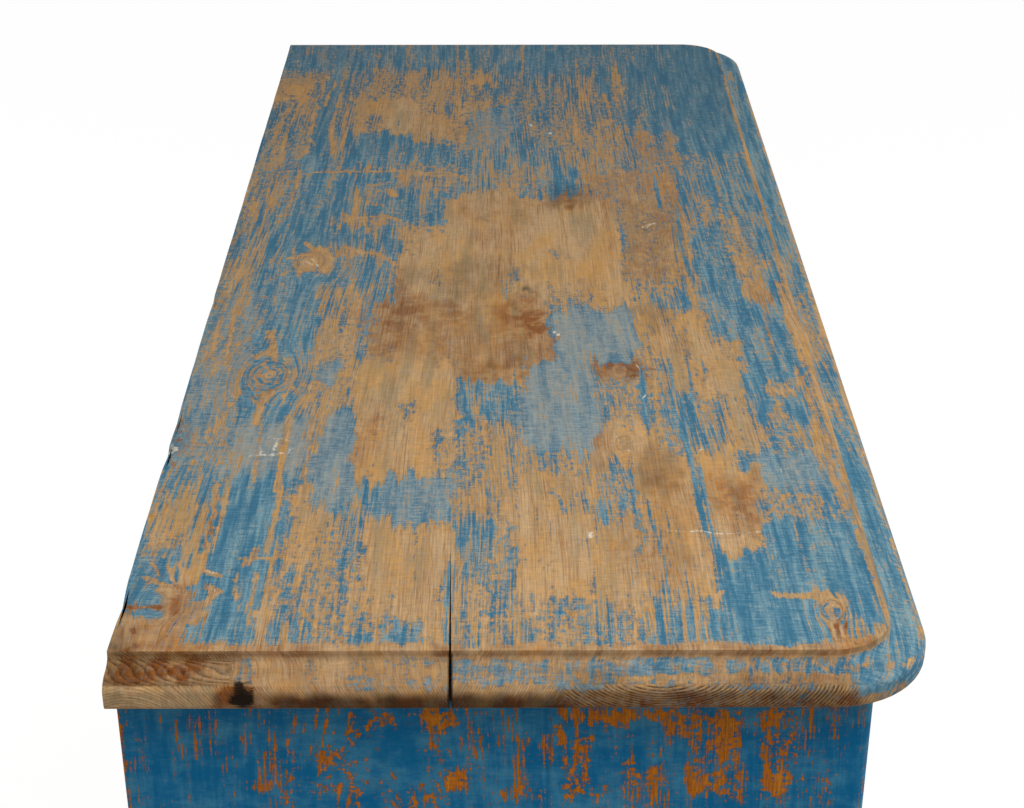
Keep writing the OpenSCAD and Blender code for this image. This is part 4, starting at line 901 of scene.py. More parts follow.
# The top in millimetres
HALF = 610              # half its length
HIGH = 920              # its height over the floor
FRONT = -250            # y of its front edge
CORNER = 62             # radius of its front corners
MOULDING = 23           # width of its moulding
NOSE_FROM = 20          # how far down the moulding its nose starts
JOINT_Y = 44            # y of the glue joint at the left end
JOINT_SLANT = 17        # how far the joint slants over the length
JOINT_GAP = 1.6         # how far the joint stands open at the left end
SLANT_FROM = 173        # y from which the rings of the left end slant
SCOURED_FROM = 183      # y from which the left end's nose is scoured
RESIN_Y = 168           # y of the resin in the left end
RUBBED_X = -150         # x at which arms have rubbed the front edge most
NEAR_TO = -200          # x up to which the near third of the top reaches
UNDERSIDE = 893.5       # height up to which the top is bare wood
HANG_TO = -24           # y up to which the rings of the left end hang low
BLACK_KNOT = (167, 27)  # y of the black knot, and how far down the moulding it lies
KNOT_SHARE = 0.6        # how much a knot's length counts against its width
SMALLEST = 6e-6         # area in square metres of the smallest face that is cut further


def joint_at(x):
    """y of the joint between the boards, in millimetres."""
    return JOINT_Y + JOINT_SLANT * (x + HALF) / (2 * HALF)


def down_moulding(out, z):
    """How far down the moulding a place lies, from how far out and how high it is."""
    return 0.56 * out + 0.83 * (HIGH - z)


def top_grain(piece, rear):
    """Flat-sawn pine boards with knots: the rings flow round each knot and close up inside it."""
    places = points_of(piece)
    x, y, z = (places / MM).T
    y_w = y + 1.6 * np.sin(x / 91 + (2 if rear else 0)) + 0.5 * np.sin(x / 37 + 1)
    inside = np.zeros(len(x))
    core = np.zeros(len(x))
    for kx, ky, radius, bend, _ in TOP_KNOTS:
        if (ky > JOINT_Y) != rear:
            continue
        dx, dy = (x - kx) * KNOT_SHARE, y_w - ky
        far = np.sqrt(dx * dx + dy * dy) + 1e-6
        near = far < radius
        y_w = np.where(near, y_w, ky + dy * (1 - bend * radius ** 2 / far ** 2
                                             * np.exp(-(far - radius) / (2.5 * radius))))
        inside = np.where(near, 1.0 - far / radius, inside)
        core = np.where(near, far * 1.5 + 300, core)
    # The heart of the tree, seen along the board
    heart_y, heart_z = (430, 690) if rear else (-420, 660)
    heart_z = heart_z + 16 * np.sin(x / 330 + 0.5)
    ring = np.hypot(y_w - heart_y, z - heart_z)
    ring = np.where(inside > 0, core, ring)
    # The left end shows its grain across: arches low on the nose, slanting arcs in the hollow
    field_end = MOULDING - HALF
    nose = down_moulding(field_end - x, z) > NOSE_FROM
    if rear:
        arch = np.where(nose, 0.8 * np.hypot(y - 236, z - 868),
                        0.32 * np.hypot(y - 172, 5 * (z - 923)))
        ring = np.where((x < field_end - 1) & (y > SLANT_FROM + 2 * np.sin(z)), arch, ring)
    else:
        hanging = 0.85 * np.hypot(0.8 * (y + 84), z - 946)
        ring = np.where((x < field_end - 1) & nose & (y < HANG_TO), hanging, ring)
    write(piece, "grain", np.stack([x, ring, y], 1) * MM)
    return inside


def top_age(piece, inside, rear):
    """Wear on the top: patches on the field, rubbed moulding, bare end grain and a bare quirk."""
    places = points_of(piece)
    x, y, z = (places / MM).T
    wander = drift(places, 38, 3)
    ripple = drift(places, 11, 8)
    fray = drift(places * (0.12, 1, 1), 5, 11)
    u = x + 10 * wander + 6 * ripple + 22 * fray
    v = y + 7 * drift(places, 36, 6) + 5 * drift(places, 15, 7) + 3 * ripple
    middle = np.exp(-(x / 170) ** 2) * (y < JOINT_Y)
    near_rear = (x < NEAR_TO) * (y > JOINT_Y)
    wear = painted_over(0.3, u, v, TOP_WEAR) * 0.94 + 0.05 + 0.085 * middle - 0.03 * near_rear
    bent = y + 7 * drift(places * (0.3, 1, 1), 40, 9)
    wear = painted_over(wear, x + 10 * wander, bent, TOP_LINES, (20, 2))
    near_u, near_v = x + 3 * ripple + 3 * wander, y + 2.5 * ripple + 2 * drift(places, 20, 12)
    wear = stroked(wear, near_u, near_v, TOP_STROKES)
    # Darker towards the far end: partly painted shade, partly paint that faded less
    far_shade_and_fading = np.clip((x + 60 * wander - 90) / 280, 0, 1)
    chalk = painted_over(0.1 - 0.55 * far_shade_and_fading * far_shade_and_fading * (3 - 2 * far_shade_and_fading), u, v, TOP_CHALK, (16, 7))
    stain = painted_over(0.0, u, v + 5 * wander, TOP_STAIN, (20, 10)) * 1.05
    stain = stroked(stain, near_u, near_v, TOP_STAR)
    soot = painted_over(0.0, u, v, TOP_SOOT, (9, 7)) * (0.85 + 0.5 * ripple)
    light = painted_over(0.0, x + 3 * ripple, y + 3 * ripple, TOP_LIGHT, (2, 2))
    light = stroked(light, x + 2.5 * ripple, y + 2 * ripple, TOP_SCRATCHES)
    for kx, ky, radius, _, strength in TOP_KNOTS:
        if (ky > JOINT_Y) == rear:
            far = np.hypot((x - kx) * KNOT_SHARE, y - ky) + 4 * ripple + 6 * wander
            wave = np.sin(far * 1.05) * np.exp(-(far / (1.9 * radius)) ** 2) * (0.6 + 0.8 * ripple)
            wear += 0.3 * strength * wave * (wear < 0.9)
            stain += 0.3 * strength * np.clip(-wave, 0, 1)
    stain = np.maximum(stain, 0.4 * np.clip(1 - np.abs(inside - 0.1) * 8, 0, 1) * (inside > 0))

    # Distance outwards from the field's edge, across the moulding
    core_x, core_y = HALF - CORNER, FRONT + CORNER
    over_x = np.clip(np.abs(x) - core_x, 0, None)
    over_y = np.clip(core_y - y, 0, None)
    out = np.where(y < core_y, np.hypot(over_x, over_y), over_x) - (CORNER - MOULDING)
    left = (x < 0) & (over_x > over_y)

    # Left end: bare towards the back, painted towards the front, dark rings low on the nose
    down = down_moulding(np.clip(out, 0, None), z)
    nose = np.clip((down - NOSE_FROM) / 1.5, 0, 1)
    straw = np.clip((y - SCOURED_FROM) / 3, 0, 1) * nose
    end_wear = painted_over(1.0, y + 6 * wander + 2 * ripple, down + 1.5 * ripple, END_WEAR, (7, 2))
    other = 0.1 + 0.16 * wander + 0.8 * np.exp(-((out - 20.5) / 2.4) ** 2) * (0.5 + 0.9 * ripple)
    other += 0.35 * np.exp(-((x - RUBBED_X) / 150) ** 2)
    far_end = (x > 0) & (over_x > over_y)
    other = np.where(far_end, other * 0.75, other)
    wear = np.where(out > 0, np.where(left, end_wear, other), wear)
    end_rings = np.where(y > SLANT_FROM, 0.62 - 0.32 * nose, nose * (0.3 + 0.6 * (y < HANG_TO)))
    ends = np.where((out > 0) & (over_x > over_y * 0.7), 0.07 + end_rings, 0)
    ends *= np.clip((y + 218) / 24, 0, 1)
    chalk = np.where(out > 0, 0.2 + 0.5 * left * np.clip((y + 120) / 60, 0, 1), chalk)
    # Stains and painted shade of the left end, darkest low on the nose
    end_stain_and_shade = painted_over(0.2, y + 3 * ripple, down + ripple, END_STAIN_AND_SHADE, (5, 3))
    stain = np.where(out > 0, left * end_stain_and_shade, stain)
    stain = np.where(out > 0, stain * (1 - straw) - 0.9 * straw * left, stain)
    light = np.where(out > 0, 0.0, light)
    # Dirt and painted shade of the left end
    end_grime_and_shade = left * (painted_over(0.12, y + 3 * ripple, down + 2 * ripple, END_SOOT_AND_SHADE, (6, 3.5))
                        * (1 - 0.85 * straw) + 0.1 * ripple)

    # The bare band beside the quirk, widest near the left end
    near = np.clip((-x + 620) / 900, 0.15, 1)
    rubbed = np.exp(-((x - RUBBED_X) / 110) ** 2) * (x > -500)
    wide = np.where(left, 8 + 4 * wander, 2 + 3 * near + 1.5 * wander + 7 * rubbed * (1 + wander))
    band = np.exp(-(np.clip(-out, 0, None) / wide) ** 2) * (out <= 0.5)
    wear = np.maximum(wear, (0.5 + 0.55 * near + 0.3 * ripple) * band)
    band_stain = stain * (1 - 0.5 * band) + 0.5 * band * left * (0.8 + ripple)
    stain = np.where(out <= 0.5, band_stain, stain)
    # Along the front the field's edge is rubbed to a bright line
    crest = np.exp(-((out + 1.5) / 1.9) ** 2) * (over_y > over_x)
    crest *= np.clip((600 - x) / 240, 0.3, 1)
    wear = np.maximum(wear, crest * (1.2 + 0.35 * ripple))
    stain = stain * (1 - crest) - 0.85 * crest
    root = np.exp(-((out - 1.0) / 1.3) ** 2) * np.clip((HIGH - 1.4 - z) / 1.5, 0, 1)
    grime_and_shade = np.where(out > 0, np.clip(end_grime_and_shade, 0, 1) + 0.16 * root, soot)
    # Underside, and painted shadow in the slit between the boards
    under = z < UNDERSIDE
    wear = np.where(under, 0.9, wear)
    grime_and_shade = np.where(under, 0.25, grime_and_shade)
    # A black knot in the end grain and the resin round it
    lumps = drift(places, 4, 12)
    knot = np.hypot((y - BLACK_KNOT[0] + 4 * ripple) / 7.5, (down - BLACK_KNOT[1]) / 9)
    knot += 0.5 * lumps + 0.4 * ripple
    grime_and_shade = np.maximum(grime_and_shade, 0.98 * np.clip((1.02 - knot) * 5, 0, 1) * (x < 16 - HALF))
    resin = np.clip(1.35 - np.abs(y - RESIN_Y) / 17, 0, 1) * nose * left * (1 - straw)
    stain = np.maximum(stain, resin * 1.4)
    grime_and_shade = np.maximum(grime_and_shade, 0.25 * resin ** 2 * (0.8 + lumps))
    # Painted shadow inside the open slit between the boards at the left end
    seam = np.abs(y + 0.5 - joint_at(x)) < JOINT_GAP
    grime_and_shade = np.where(seam & (x < 130 - HALF) & (z < HIGH - 1.5), 0.9, grime_and_shade)
    write(piece, "ends", ends)
    lay_age(piece, wear, chalk, stain, grime_and_shade, light)


def top_board(node, rear, settings):
    """One of the two boards of the top, cut into fine cells, with its rear edge left raw."""
    def in_joint(place):
        return abs(place[1] / MM - joint_at(0)) < 12 and abs(place[0]) / MM < HALF - 1

    shape = settings.shape
    piece = copy_of(node, "dressed_" + node, 1.3 * MM, leave=in_joint)
    low, high = points_of(piece).min(0), points_of(piece).max(0)
    cut(piece, 0, cells(low[0], high[0], shape.top_cell * 2, (2, 5)))
    cut(piece, 1, cells(low[1], high[1], shape.top_cell, (1.5, 4)))
    only(piece)
    fine = TOP_FINE + tuple((x - 2 * r, x + 2 * r, y - 1.4 * r, y + 1.4 * r)
                            for x, y, r, *_ in TOP_KNOTS)
    field_x, field_y = (HALF - MOULDING) * MM, (FRONT + MOULDING) * MM

    def field_or_left_end(face):
        middle = face.center
        return (face.normal.z > 0.9 and middle.y > field_y and middle.x < field_x
                or middle.x < -field_x - 1 * MM and face.normal.x < -0.3)

    def other_moulding(face):
        middle = face.center
        return (middle.z > TOP_LOW + 6 * MM and face.normal.z > 0.05
                and not (middle.y > field_y and middle.x < field_x))

    def marked(face):
        x, y = face.center.x / MM, face.center.y / MM
        return (face.normal.z > 0.9 and x > 16 - HALF
                and any(x0 < x < x1 and y0 < y < y1 for x0, x1, y0, y1 in fine)
                or x < 20 - HALF and abs(y - RESIN_Y) < 24)

    for cuts, pick in ((3, field_or_left_end), (1, other_moulding), (2, marked)):
        bpy.ops.object.mode_set(mode="EDIT")
        bpy.ops.mesh.select_all(action="DESELECT")
        bpy.ops.object.mode_set(mode="OBJECT")
        for face in piece.data.polygons:
            face.select = face.area > SMALLEST and pick(face)
        bpy.ops.object.mode_set(mode="EDIT")
        bpy.ops.mesh.select_mode(type="FACE")
        bpy.ops.mesh.subdivide(number_cuts=cuts)
        bpy.ops.object.mode_set(mode="OBJECT")
    if rear:
        # The raw rear edge has been knocked and rubbed, so it isn't quite straight
        places = points_of(piece)
        back = places[:, 1] > high[1] - 2.2 * MM
        upright = places * (1, 0, 0.3)
        dents = 0.5 + 0.5 * drift(upright, 34, 4) + 0.5 * drift(upright, 150, 2)
        for middle, size, deep in TOP_DENTS:
            dents += deep * np.exp(-((places[:, 0] / MM - middle) / size) ** 2)
        move(piece, 1, back * -0.7 * MM * np.clip(dents, 0, 3))
    else:
        # Behind the open end of the joint the boards meet
        x, y = (points_of(piece)[:, :2] / MM).T
        gap = JOINT_GAP * (HALF - x) / (2 * HALF)
        inside = joint_at(x) - gap - y
        shut = np.clip((x + 600) / 140, 0, 1) * gap - 0.12 * np.exp(-((x + 20) / 190) ** 4)
        move(piece, 1, shut * MM * np.clip(1 - inside / 10, 0, 1))
    inside = top_grain(piece, rear)
    top_age(piece, inside, rear)
    piece.data.materials.append(FINISHES["worn_top_paint"])
    smooth(piece, 28)
    seat(piece, node)


# The left side. Patches are (y from, y to, z from, z to, level) in millimetres.

SIDE_WEAR = (
    (-222, 252, 700, 893, 0.14), (-222, -185, 700, 893, 0.2), (190, 215, 848, 870, 0.36),
    (195, 205, 828, 858, 0.5), (150, 158, 824, 850, 0.56), (154, 164, 818, 838, 0.52),
    (156, 172, 806, 815, 0.72), (138, 152, 808, 820, 0.44), (60, 135, 803, 815, 0.34),
    (98, 112, 846, 870, 0.46), (112, 135, 824, 842, 0.4), (70, 92, 854, 870, 0.46),
    (42, 62, 856, 869, 0.72), (92, 100, 848, 862, 0.52), (35, 49, 805, 826, 0.84),
    (50, 62, 795, 806, 0.56), (66, 112, 780, 812, 0.4), (-2, 26, 846, 851, 0.46),
    (-4, 4, 832, 852, 0.56), (-19, -13, 830, 852, 0.78), (-12, 14, 797, 812, 0.52),
    (-12, 4, 812, 834, 0.36), (-43, -27, 798, 850, 0.74), (-56, -40, 800, 808, 0.56),
    (-76, -64, 810, 832, 0.44), (-92, -66, 790, 824, 0.6), (-62, -28, 857, 869, 0.74),
    (-102, -60, 862, 870, 0.7), (-112, -90, 846, 870, 0.74), (-126, -104, 818, 868, 0.46),
    (-136, -104, 803, 820, 0.74), (-137, -118, 828, 866, 0.68), (-142, -126, 796, 826, 0.54),
    (-170, -148, 798, 868, 0.46), (-169, -154, 804, 821, 0.8), (-162, -148, 854, 870, 0.72),
    (-180, -174, 834, 870, 0.5), (-206, -188, 848, 870, 0.26), (60, 130, 600, 780, 0.3),
    (-60, 0, 540, 760, 0.34), (-180, -90, 300, 700, 0.3), (100, 220, 150, 420, 0.3),
)
SIDE_FACE = 577         # x from which a place belongs to a side's outer face
SIDE_JOINT_Y = -17      # y of the glue joint in both sides
VIEW_FROM = 690         # height from which the photo shows the left side


def side_patches(places, wear, grime_and_shade):
    """Wear on the left side, where the photo shows it; chips run down the grain. Both sides get
    painted shade under the top."""
    x, y, z = (places / MM).T
    ripple = drift(places, 9, 3)
    u = y + 2 * ripple + 2 * drift(places, 24, 8)
    v = z + 5 * drift(places * (1, 1, 0.3), 6, 5) + 3 * ripple
    laid = painted_over(0.1, u, v, SIDE_WEAR, (3, 6)) * 0.92
    in_view = np.clip((z - VIEW_FROM) / 60, 0, 1)
    outer = np.clip(-SIDE_FACE - x, 0, 1) * in_view
    # Painted shade under the overhang of the top, on the outer faces of both sides
    grime_and_shade = grime_and_shade + 0.8 * np.exp(-np.clip(890 - z, 0, None) / 14) * (np.abs(x) > SIDE_FACE)
    # Painted shadow on the left side below the open end of the joint in the top
    grime_and_shade += 0.9 * np.exp(-((y - 45) / 4) ** 2) * np.clip((z - 873) / 4, 0, 1) * outer
    laid = np.maximum(laid, np.exp(-((250 - y) / 2.2) ** 2) * (0.75 + 0.6 * ripple))
    # The rounded front edge has kept its paint
    front = np.clip((-208 - y) / 6, 0, 1) * in_view * (x < 0)
    wear = wear * (1 - outer) + laid * outer
    return wear * (1 - front) + 0.1 * front, grime_and_shade


# How far from the middle and how high the keyholes and the knobs lie, in metres
KEYHOLE, KNOB = (0.068, 0.459), (0.27, 0.798)
# Distances from a panel's edge at which it is cut, for the painted shadow and dirt along its frame
# and the rubbed line of its field
PANEL_LINES = (0.012, 0.0355, 0.0385, 0.0415)


def hand_wear(x0, z0):
    """Wear and grease left by hands round a knob or a keyhole."""
    def patches(places, wear, grime_and_shade):
        far = np.hypot(np.abs(places[:, 0]) - x0, places[:, 2] - z0) / 0.05
        share = np.exp(-far ** 2) * (0.8 + drift(places, 12, 4))
        return wear + 0.5 * share, grime_and_shade + 0.2 * np.clip(share, 0, 1)
    return patches


def gripped(places, wear, grime_and_shade):
    """A knob: its face rubbed to the wood by hands, darker in the hollow of its neck."""
    face = np.clip((-0.228 - places[:, 1]) / 0.012, 0, 1)
    neck = np.exp(-((places[:, 1] + 0.22) / 0.003) ** 2)
    return wear + 0.95 * face * (0.8 + drift(places, 8, 3)), grime_and_shade + 0.5 * neck + 0.12 * face


def fielded(places, wear, grime_and_shade):
    """A panel: painted shadow of its frame, with dirt, in the corner along it, its raised field
    rubbed along the edge.
    """
    high, low = places.max(0), places.min(0)
    inwards = np.minimum(np.minimum(places[:, 0] - low[0], high[0] - places[:, 0]),
                         np.minimum(places[:, 2] - low[2], high[2] - places[:, 2])) / MM
    front = places[:, 1] < low[1] + 0.008
    ripple = drift(places, 22, 6)
    rub = np.exp(-((inwards - 38.5) / 2.2) ** 2) * (0.6 + 1.1 * ripple)
    # Painted shadow of the frame, with dirt, in the corner along it
    shadow_and_dirt = np.exp(-(np.clip(inwards - 9, 0, None) / 3) ** 2) * (0.6 + 0.4 * ripple)
    return wear + 0.85 * rub * front, grime_and_shade + 0.75 * shadow_and_dirt * front


def kicked(low, high):
    """Scuffs near the floor, from a height down."""
    def patches(places, wear, grime_and_shade):
        share = np.clip((high - places[:, 2]) / (high - low), 0, 1)
        return wear + share * (0.34 + 0.4 * drift(places, 16, 2)), grime_and_shade + 0.2 * share ** 2
    return patches


class CUPBOARD_OT_top(bpy.types.Operator):
    """Dresses the two boards of the top"""
    bl_idname = "cupboard.top"
    bl_label = "Top"

    def execute(self, context):
        settings = context.scene.cupboard
        top_board("top_rear_board", True, settings)
        top_board("top_front_board", False, settings)
        return {"FINISHED"}


class CUPBOARD_OT_sides(bpy.types.Operator):
    """Dresses the boards of both sides"""
    bl_idname = "cupboard.sides"
    bl_label = "Sides"

    def execute(self, context):
        settings = context.scene.cupboard
        fine = ((1, [(-216 + 3.5 * i) * MM for i in range(134)]),
                (2, [(790 + 4 * i) * MM for i in range(25)]))

        def seam(place):
            return abs(place[1] / MM - SIDE_JOINT_Y) < 2

        for number, board in enumerate(("front", "rear")):
            dressed(f"side_left_{board}_board", 2, settings, 3 + number,
                    patches=side_patches, fine=fine, leave=seam)
            dressed(f"side_right_{board}_board", 2, settings, 7 + number,
                    patches=side_patches, leave=seam)
        return {"FINISHED"}


class CUPBOARD_OT_face_frame(bpy.types.Operator):
    """Dresses the stiles, rails and muntins of the front"""
    bl_idname = "cupboard.face_frame"
    bl_label = "Face frame"

    def execute(self, context):
        settings = context.scene.cupboard
        for number, node in enumerate(("stile_left", "stile_right", "drawer_muntin",
                                       "door_muntin")):
            dressed(node, 2, settings, 11 + number)
        for number, node in enumerate(("top_rail", "drawer_rail", "bottom_rail")):
            dressed(node, 0, settings, 17 + number)
        return {"FINISHED"}


class CUPBOARD_OT_carcase(bpy.types.Operator):
    """Dresses the unpainted boards: back, bottom, shelf, battens, runners and kickers"""
    bl_idname = "cupboard.carcase"
    bl_label = "Carcase"

    def execute(self, context):
        settings = context.scene.cupboard
        for number, (node, along) in enumerate((
                ("back_boards", 2), ("bottom_board", 0), ("shelf", 0), ("shelf_battens", 1),
                ("drawer_runners", 1), ("kickers", 1))):
            piece = dressed(node, along, settings, 23 + number)
            if node == "back_boards":
                # A little room for the heads of the nails
                rearmost = points_of(piece)[:, 1] > CAD_BOX[1][1] - 0.1 * MM
                move(piece, 1, -0.4 * MM * rearmost)
        return {"FINISHED"}


class CUPBOARD_OT_plinth(bpy.types.Operator):
    """Dresses the boards of the plinth"""
    bl_idname = "cupboard.plinth"
    bl_label = "Plinth"

    def execute(self, context):
        settings = context.scene.cupboard
        for number, (node, along) in enumerate((
                ("plinth_front", 0), ("plinth_left", 1), ("plinth_right", 1), ("plinth_back", 0))):
            dressed(node, along, settings, 31 + number, base=0.12, patches=kicked(0.09, 0.122))
        return {"FINISHED"}


class CUPBOARD_OT_feet(bpy.types.Operator):
    """Dresses the four turned feet"""
    bl_idname = "cupboard.feet"
    bl_label = "Turned feet"

    def execute(self, context):
        dressed("turned_feet", 2, context.scene.cupboard, 37, base=0.1, patches=kicked(0.0, 0.06))
        return {"FINISHED"}


class CUPBOARD_OT_doors(bpy.types.Operator):
    """Dresses both doors: frames, raised panels and pegs"""
    bl_idname = "cupboard.doors"
    bl_label = "Doors"

    def execute(self, context):
        settings = context.scene.cupboard
        for number, side in enumerate(("left", "right")):
            for part, along in (("hinge_stile", 2), ("lock_stile", 2), ("top_rail", 0),
                                ("bottom_rail", 0), ("panel", 2), ("pegs", 1)):
                touch = {"lock_stile": hand_wear(*KEYHOLE), "panel": fielded}.get(part)
                dressed(f"door_{side}_{part}", along, settings, 41 + 9 * number + len(part),
                        patches=touch, inset=PANEL_LINES if part == "panel" else ())
        return {"FINISHED"}


class CUPBOARD_OT_drawers(bpy.types.Operator):
    """Dresses both drawers and their knobs"""
    bl_idname = "cupboard.drawers"
    bl_label = "Drawers"

    def execute(self, context):
        settings = context.scene.cupboard
        for number, side in enumerate(("left", "right")):
            for part, along in (("front", 0), ("outer_side", 1), ("inner_side", 1), ("back", 0),
                                ("bottom", 0), ("knob", 1)):
                touch = {"front": hand_wear(*KNOB), "knob": gripped}.get(part)
                dressed(f"drawer_{side}_{part}", along, settings, 61 + 9 * number + len(part),
                        patches=touch)
        return {"FINISHED"}


class CUPBOARD_OT_ironwork(bpy.types.Operator):
    """Softens the hinges, locks, keys and escutcheons and gives them their metal"""
    bl_idname = "cupboard.ironwork"
    bl_label = "Ironwork"

    def execute(self, context):
        for side in ("left", "right"):
            for node in (f"case_hinges_{side}", f"door_{side}_hinge_leaves",
                         f"door_{side}_escutcheon", f"door_{side}_lock_case",
                         f"door_{side}_bolt", f"door_{side}_key"):
                piece = copy_of(node, "dressed_" + node, 0.35 * MM)
                piece.data.materials.append(FINISHES[SLOT_OF[node]])
                smooth(piece, 40)
                seat(piece, node)
        return {"FINISHED"}


def cut_away_below(piece):
    """Cuts a piece off at the ground plane and closes it."""
    only(piece)
    bpy.ops.object.mode_set(mode="EDIT")
    bpy.ops.mesh.select_all(action="SELECT")
    bpy.ops.mesh.bisect(plane_co=(0, 0, 0), plane_no=(0, 0, 1), clear_inner=True, use_fill=True)
    bpy.ops.object.mode_set(mode="OBJECT")


def small_head(radius, high, slotted):
    """A nail or screw head on the ground plane, looking up: domed, or flat with a slot."""
    bpy.ops.object.select_all(action="DESELECT")
    if slotted:
        bpy.ops.mesh.primitive_cylinder_add(vertices=16, radius=radius, depth=high,
                                            location=(0, 0, high / 2))
    else:
        bpy.ops.mesh.primitive_uv_sphere_add(segments=12, ring_count=6, radius=radius)
    head = bpy.context.object
    bpy.ops.object.transform_apply(location=True, rotation=False, scale=False)
    if not slotted:
        move(head, 2, points_of(head)[:, 2] * (high / radius - 1))
        cut_away_below(head)
        return head
    cut(head, 1, (-0.17 * radius, 0.17 * radius))
    for face in head.data.polygons:
        face.select = face.normal.z > 0.9 and abs(face.center.y) < 0.1 * radius
    bpy.ops.object.mode_set(mode="EDIT")
    bpy.ops.mesh.select_mode(type="FACE")
    bpy.ops.mesh.extrude_region_move(TRANSFORM_OT_translate={"value": (0, 0, -0.5 * high)})
    bpy.ops.object.mode_set(mode="OBJECT")
    modified(head, "BEVEL", width=0.08 * radius, segments=1, angle_limit=radians(40))
    return head


def set_heads(name, body, slot, head, facing, places):
    """Copies of a head at places in millimetres, looking the way facing points, as one piece."""
    bpy.ops.object.select_all(action="DESELECT")
    for number, place in enumerate(places):
        mesh = head.data.copy()
        turn = Matrix.Rotation(1.3 * number, 4, "Z")
        mesh.transform(Matrix.Translation(Vector(place) * MM)
                       @ Vector(facing).to_track_quat("Z", "Y").to_matrix().to_4x4() @ turn)
        copy = bpy.data.objects.new(name, mesh)
        bpy.context.collection.objects.link(copy)
        copy.select_set(True)
        bpy.context.view_layer.objects.active = copy
    bpy.ops.object.join()
    piece = bpy.context.object
    piece.name = name
    piece.data.materials.append(FINISHES[slot])
    smooth(piece, 50)
    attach(piece, body)


class CUPBOARD_OT_fixings(bpy.types.Operator):
    """Drives the nails of the back and sets the escutcheon pins and the screws of the locks"""
    bl_idname = "cupboard.fixings"
    bl_label = "Nails, pins and screws"

    def execute(self, context):
        shape = context.scene.cupboard.shape
        nail = small_head(shape.nail, 0.3 * MM, False)
        pin = small_head(1.2 * MM, 0.6 * MM, False)
        screw = small_head(2.3 * MM, 0.8 * MM, True)
        # x of the middles of the back's boards, and the y of the nail heads' seats
        boards, back = (-453, -226.6, 0, 226.6, 453), 249.6
        rows = [(x + off, back, z + 3 * sin(x + off + z)) for x in boards for off in (-78, 78)
                for z in (132, 440)]
        rows += [(x, back, z) for x in (-561, 561) for z in (210, 330, 560, 690, 820)]
        set_heads("back_nails", "cupboard", "black_iron", nail, (0, 1, 0), rows)
        for side, sign in (("left", -1), ("right", 1)):
            body = "door_" + side
            set_heads(f"{side}_escutcheon_pins", body, "aged_brass", pin, (0, -1, 0),
                      [(sign * 68, -219.1, z) for z in (434, 475)])
            set_heads(f"{side}_lock_screws", body, "black_iron", screw, (0, 1, 0),
                      [(sign * x, -181.1, z) for x in (40, 92) for z in (450, 474)])
        for head in (nail, pin, screw):
            bpy.data.objects.remove(head)
        return {"FINISHED"}


class CUPBOARD_OT_stage(bpy.types.Operator):
    """Sets up the pale floor, the soft light and the camera at the photo's place"""
    bl_idname = "cupboard.stage"
    bl_label = "Stage"

    def execute(self, context):
        scene = context.scene
        stage = scene.cupboard.stage
        bpy.ops.object.select_all(action="DESELECT")
        bpy.ops.mesh.primitive_plane_add(size=24, location=(3, 0, 0))
        floor = context.object
        floor.name = "floor"
        bpy.ops.object.transform_apply(location=True, rotation=False, scale=False)
        floor.data.materials.append(white_floor())

        world = bpy.data.worlds.new("studio")
        scene.world = world
        world.use_nodes = True
        tree = world.node_tree
        tree.nodes.clear()
        sky = put(tree, "Background", {"Color": linear("#f6f6f6"), "Strength": stage.sky})
        white = put(tree, "Background", {"Color": linear("#ffffff"), "Strength": 1.0})
        seen = seen_by(tree, "Is Glossy Ray", "Is Transmission Ray")
        put(tree, "OutputWorld", {"Surface": put(tree, "MixShader", (seen, sky, white))})

        for name, place, target, size, power in (
                ("main_lamp", (-1.0, -0.5, 2.35), (-0.3, 0.0, 0.9), (1.2, 1.2), stage.key),
                ("side_lamp", (-2.6, 0.7, 1.3), (-0.5, 0.0, 0.8), (1.2, 1.2), stage.key * 0.3),
                ("front_lamp", (0.9, -3.4, 0.9), (0.0, 0.0, 0.5), (2.4, 1.2), stage.key * 1.6),
                ("back_lamp", (1.2, 3.4, 0.9), (0.2, 0.0, 0.5), (2.4, 1.2), stage.key * 1.3)):
            bpy.ops.object.light_add(type="AREA", location=place)
            lamp = context.object
            lamp.name = name
            lamp.data.shape = "RECTANGLE"
            lamp.data.size, lamp.data.size_y = size
            lamp.data.energy = power
            aim = Vector(target) - Vector(place)
            lamp.rotation_euler = aim.to_track_quat("-Z", "Y").to_euler()

        ahead = Vector((cos(stage.pitch) * cos(stage.yaw), cos(stage.pitch) * sin(stage.yaw),
                        -sin(stage.pitch)))
        turn = ahead.to_track_quat("-Z", "Y").to_euler()
        bpy.ops.object.camera_add(location=stage.eye, rotation=turn)
        camera = context.object
        camera.name = "eye"
        camera.data.sensor_fit = "HORIZONTAL"
        camera.data.sensor_width = 36
        camera.data.lens = stage.lens
        scene.camera = camera
        scene.view_settings.view_transform = "Standard"
        return {"FINISHED"}


def seen_by(tree, *rays):
    """1 for the camera's rays and those named, 0 for the rays that carry light between things."""
    seen = put(tree, "LightPath", (), "Is Camera Ray")
    for ray in rays:
        seen = put(tree, "Math", (seen, put(tree, "LightPath", (), ray)), operation="MAXIMUM")
    return seen


def white_floor():
    """A white floor that keeps a faint shadow: what the camera sees is lifted most of the way to
    white, while the light it throws back is that of pale paint."""
    material, tree = new_material("white matt floor")
    grit = stretched(tree, put(tree, "TexCoord", (), "Object"), (40, 40, 40), 3.0)
    tone = put(tree, "Mix", (grit, linear("#e9e8e6"), linear("#f2f1ef")))
    matt = put(tree, "BsdfPrincipled", {"Base Color": tone, "Roughness": 0.9,
                                        "Specular IOR Level": 0.1})
    glow = put(tree, "Emission", {"Color": linear("#ffffff"), "Strength": 1.06})
    share = put(tree, "Math", (seen_by(tree, "Is Glossy Ray"), 0.9), operation="MULTIPLY")
    put(tree, "OutputMaterial", {"Surface": put(tree, "MixShader", (share, matt, glow))})
    return material


# The add-on

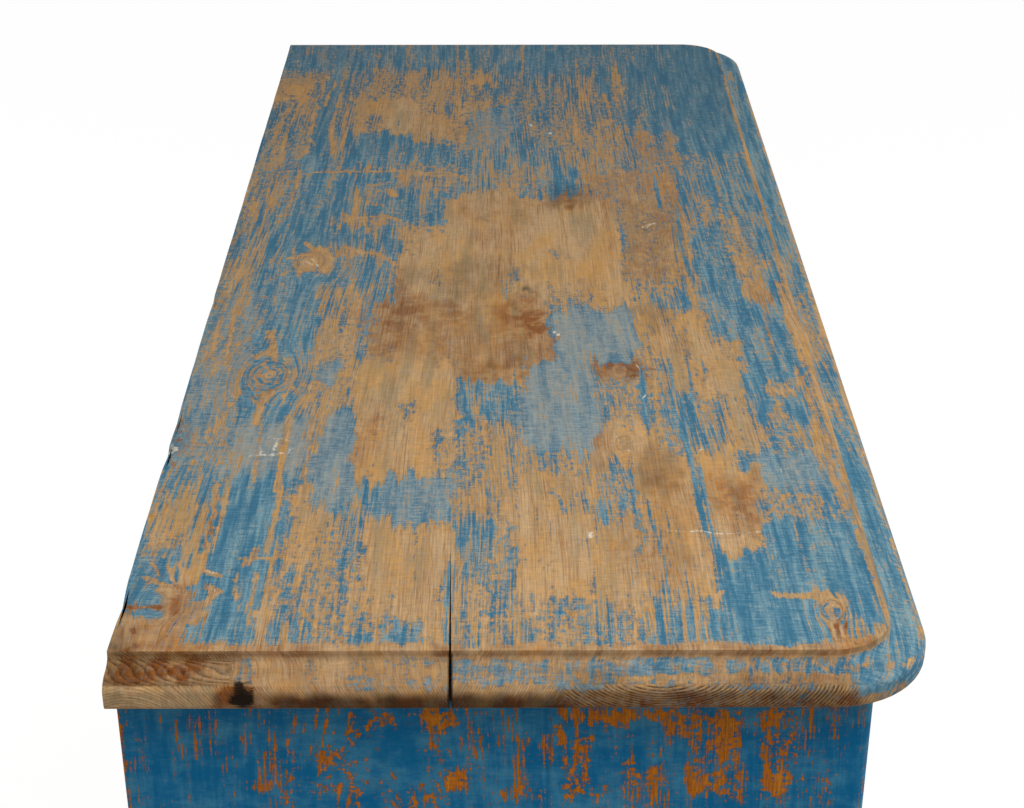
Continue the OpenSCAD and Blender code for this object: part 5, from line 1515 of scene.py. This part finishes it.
class CupboardSettings(bpy.types.PropertyGroup):
    paint: PointerProperty(type=CupboardPaint, name="Paint", description="Colours of the paint")
    wood: PointerProperty(type=CupboardWood, name="Wood", description="Colours of the pine")
    shape: PointerProperty(type=CupboardShape, name="Shape", description="Sizes of the dressing")
    stage: PointerProperty(type=CupboardStage, name="Stage", description="Camera and light")


OPERATORS = (CUPBOARD_OT_top, CUPBOARD_OT_sides, CUPBOARD_OT_face_frame, CUPBOARD_OT_carcase,
             CUPBOARD_OT_plinth, CUPBOARD_OT_feet, CUPBOARD_OT_doors, CUPBOARD_OT_drawers,
             CUPBOARD_OT_ironwork, CUPBOARD_OT_fixings, CUPBOARD_OT_stage)


class CUPBOARD_PT_panel(bpy.types.Panel):
    """Lists the steps that dress the cupboard"""
    bl_label = "Painted cupboard"
    bl_idname = "CUPBOARD_PT_panel"
    bl_space_type = "VIEW_3D"
    bl_region_type = "UI"
    bl_category = "Cupboard"

    def draw(self, context):
        column = self.layout.column()
        for operator in OPERATORS:
            column.operator(operator.bl_idname)
        settings = context.scene.cupboard
        for group in (settings.paint, settings.wood, settings.shape, settings.stage):
            for key in group.__annotations__:
                column.prop(group, key)


CLASSES = (CupboardPaint, CupboardWood, CupboardShape, CupboardStage, CupboardSettings,
           *OPERATORS, CUPBOARD_PT_panel)


def register():
    for cls in CLASSES:
        bpy.utils.register_class(cls)
    bpy.types.Scene.cupboard = PointerProperty(type=CupboardSettings)


def unregister():
    del bpy.types.Scene.cupboard
    for cls in reversed(CLASSES):
        bpy.utils.unregister_class(cls)


def main():
    register()
    make_finishes(bpy.context.scene.cupboard)
    bpy.ops.cupboard.top()
    bpy.ops.cupboard.sides()
    bpy.ops.cupboard.face_frame()
    bpy.ops.cupboard.carcase()
    bpy.ops.cupboard.plinth()
    bpy.ops.cupboard.feet()
    bpy.ops.cupboard.doors()
    bpy.ops.cupboard.drawers()
    bpy.ops.cupboard.ironwork()
    bpy.ops.cupboard.fixings()
    bpy.ops.cupboard.stage()


if __name__ == "__main__":
    main()
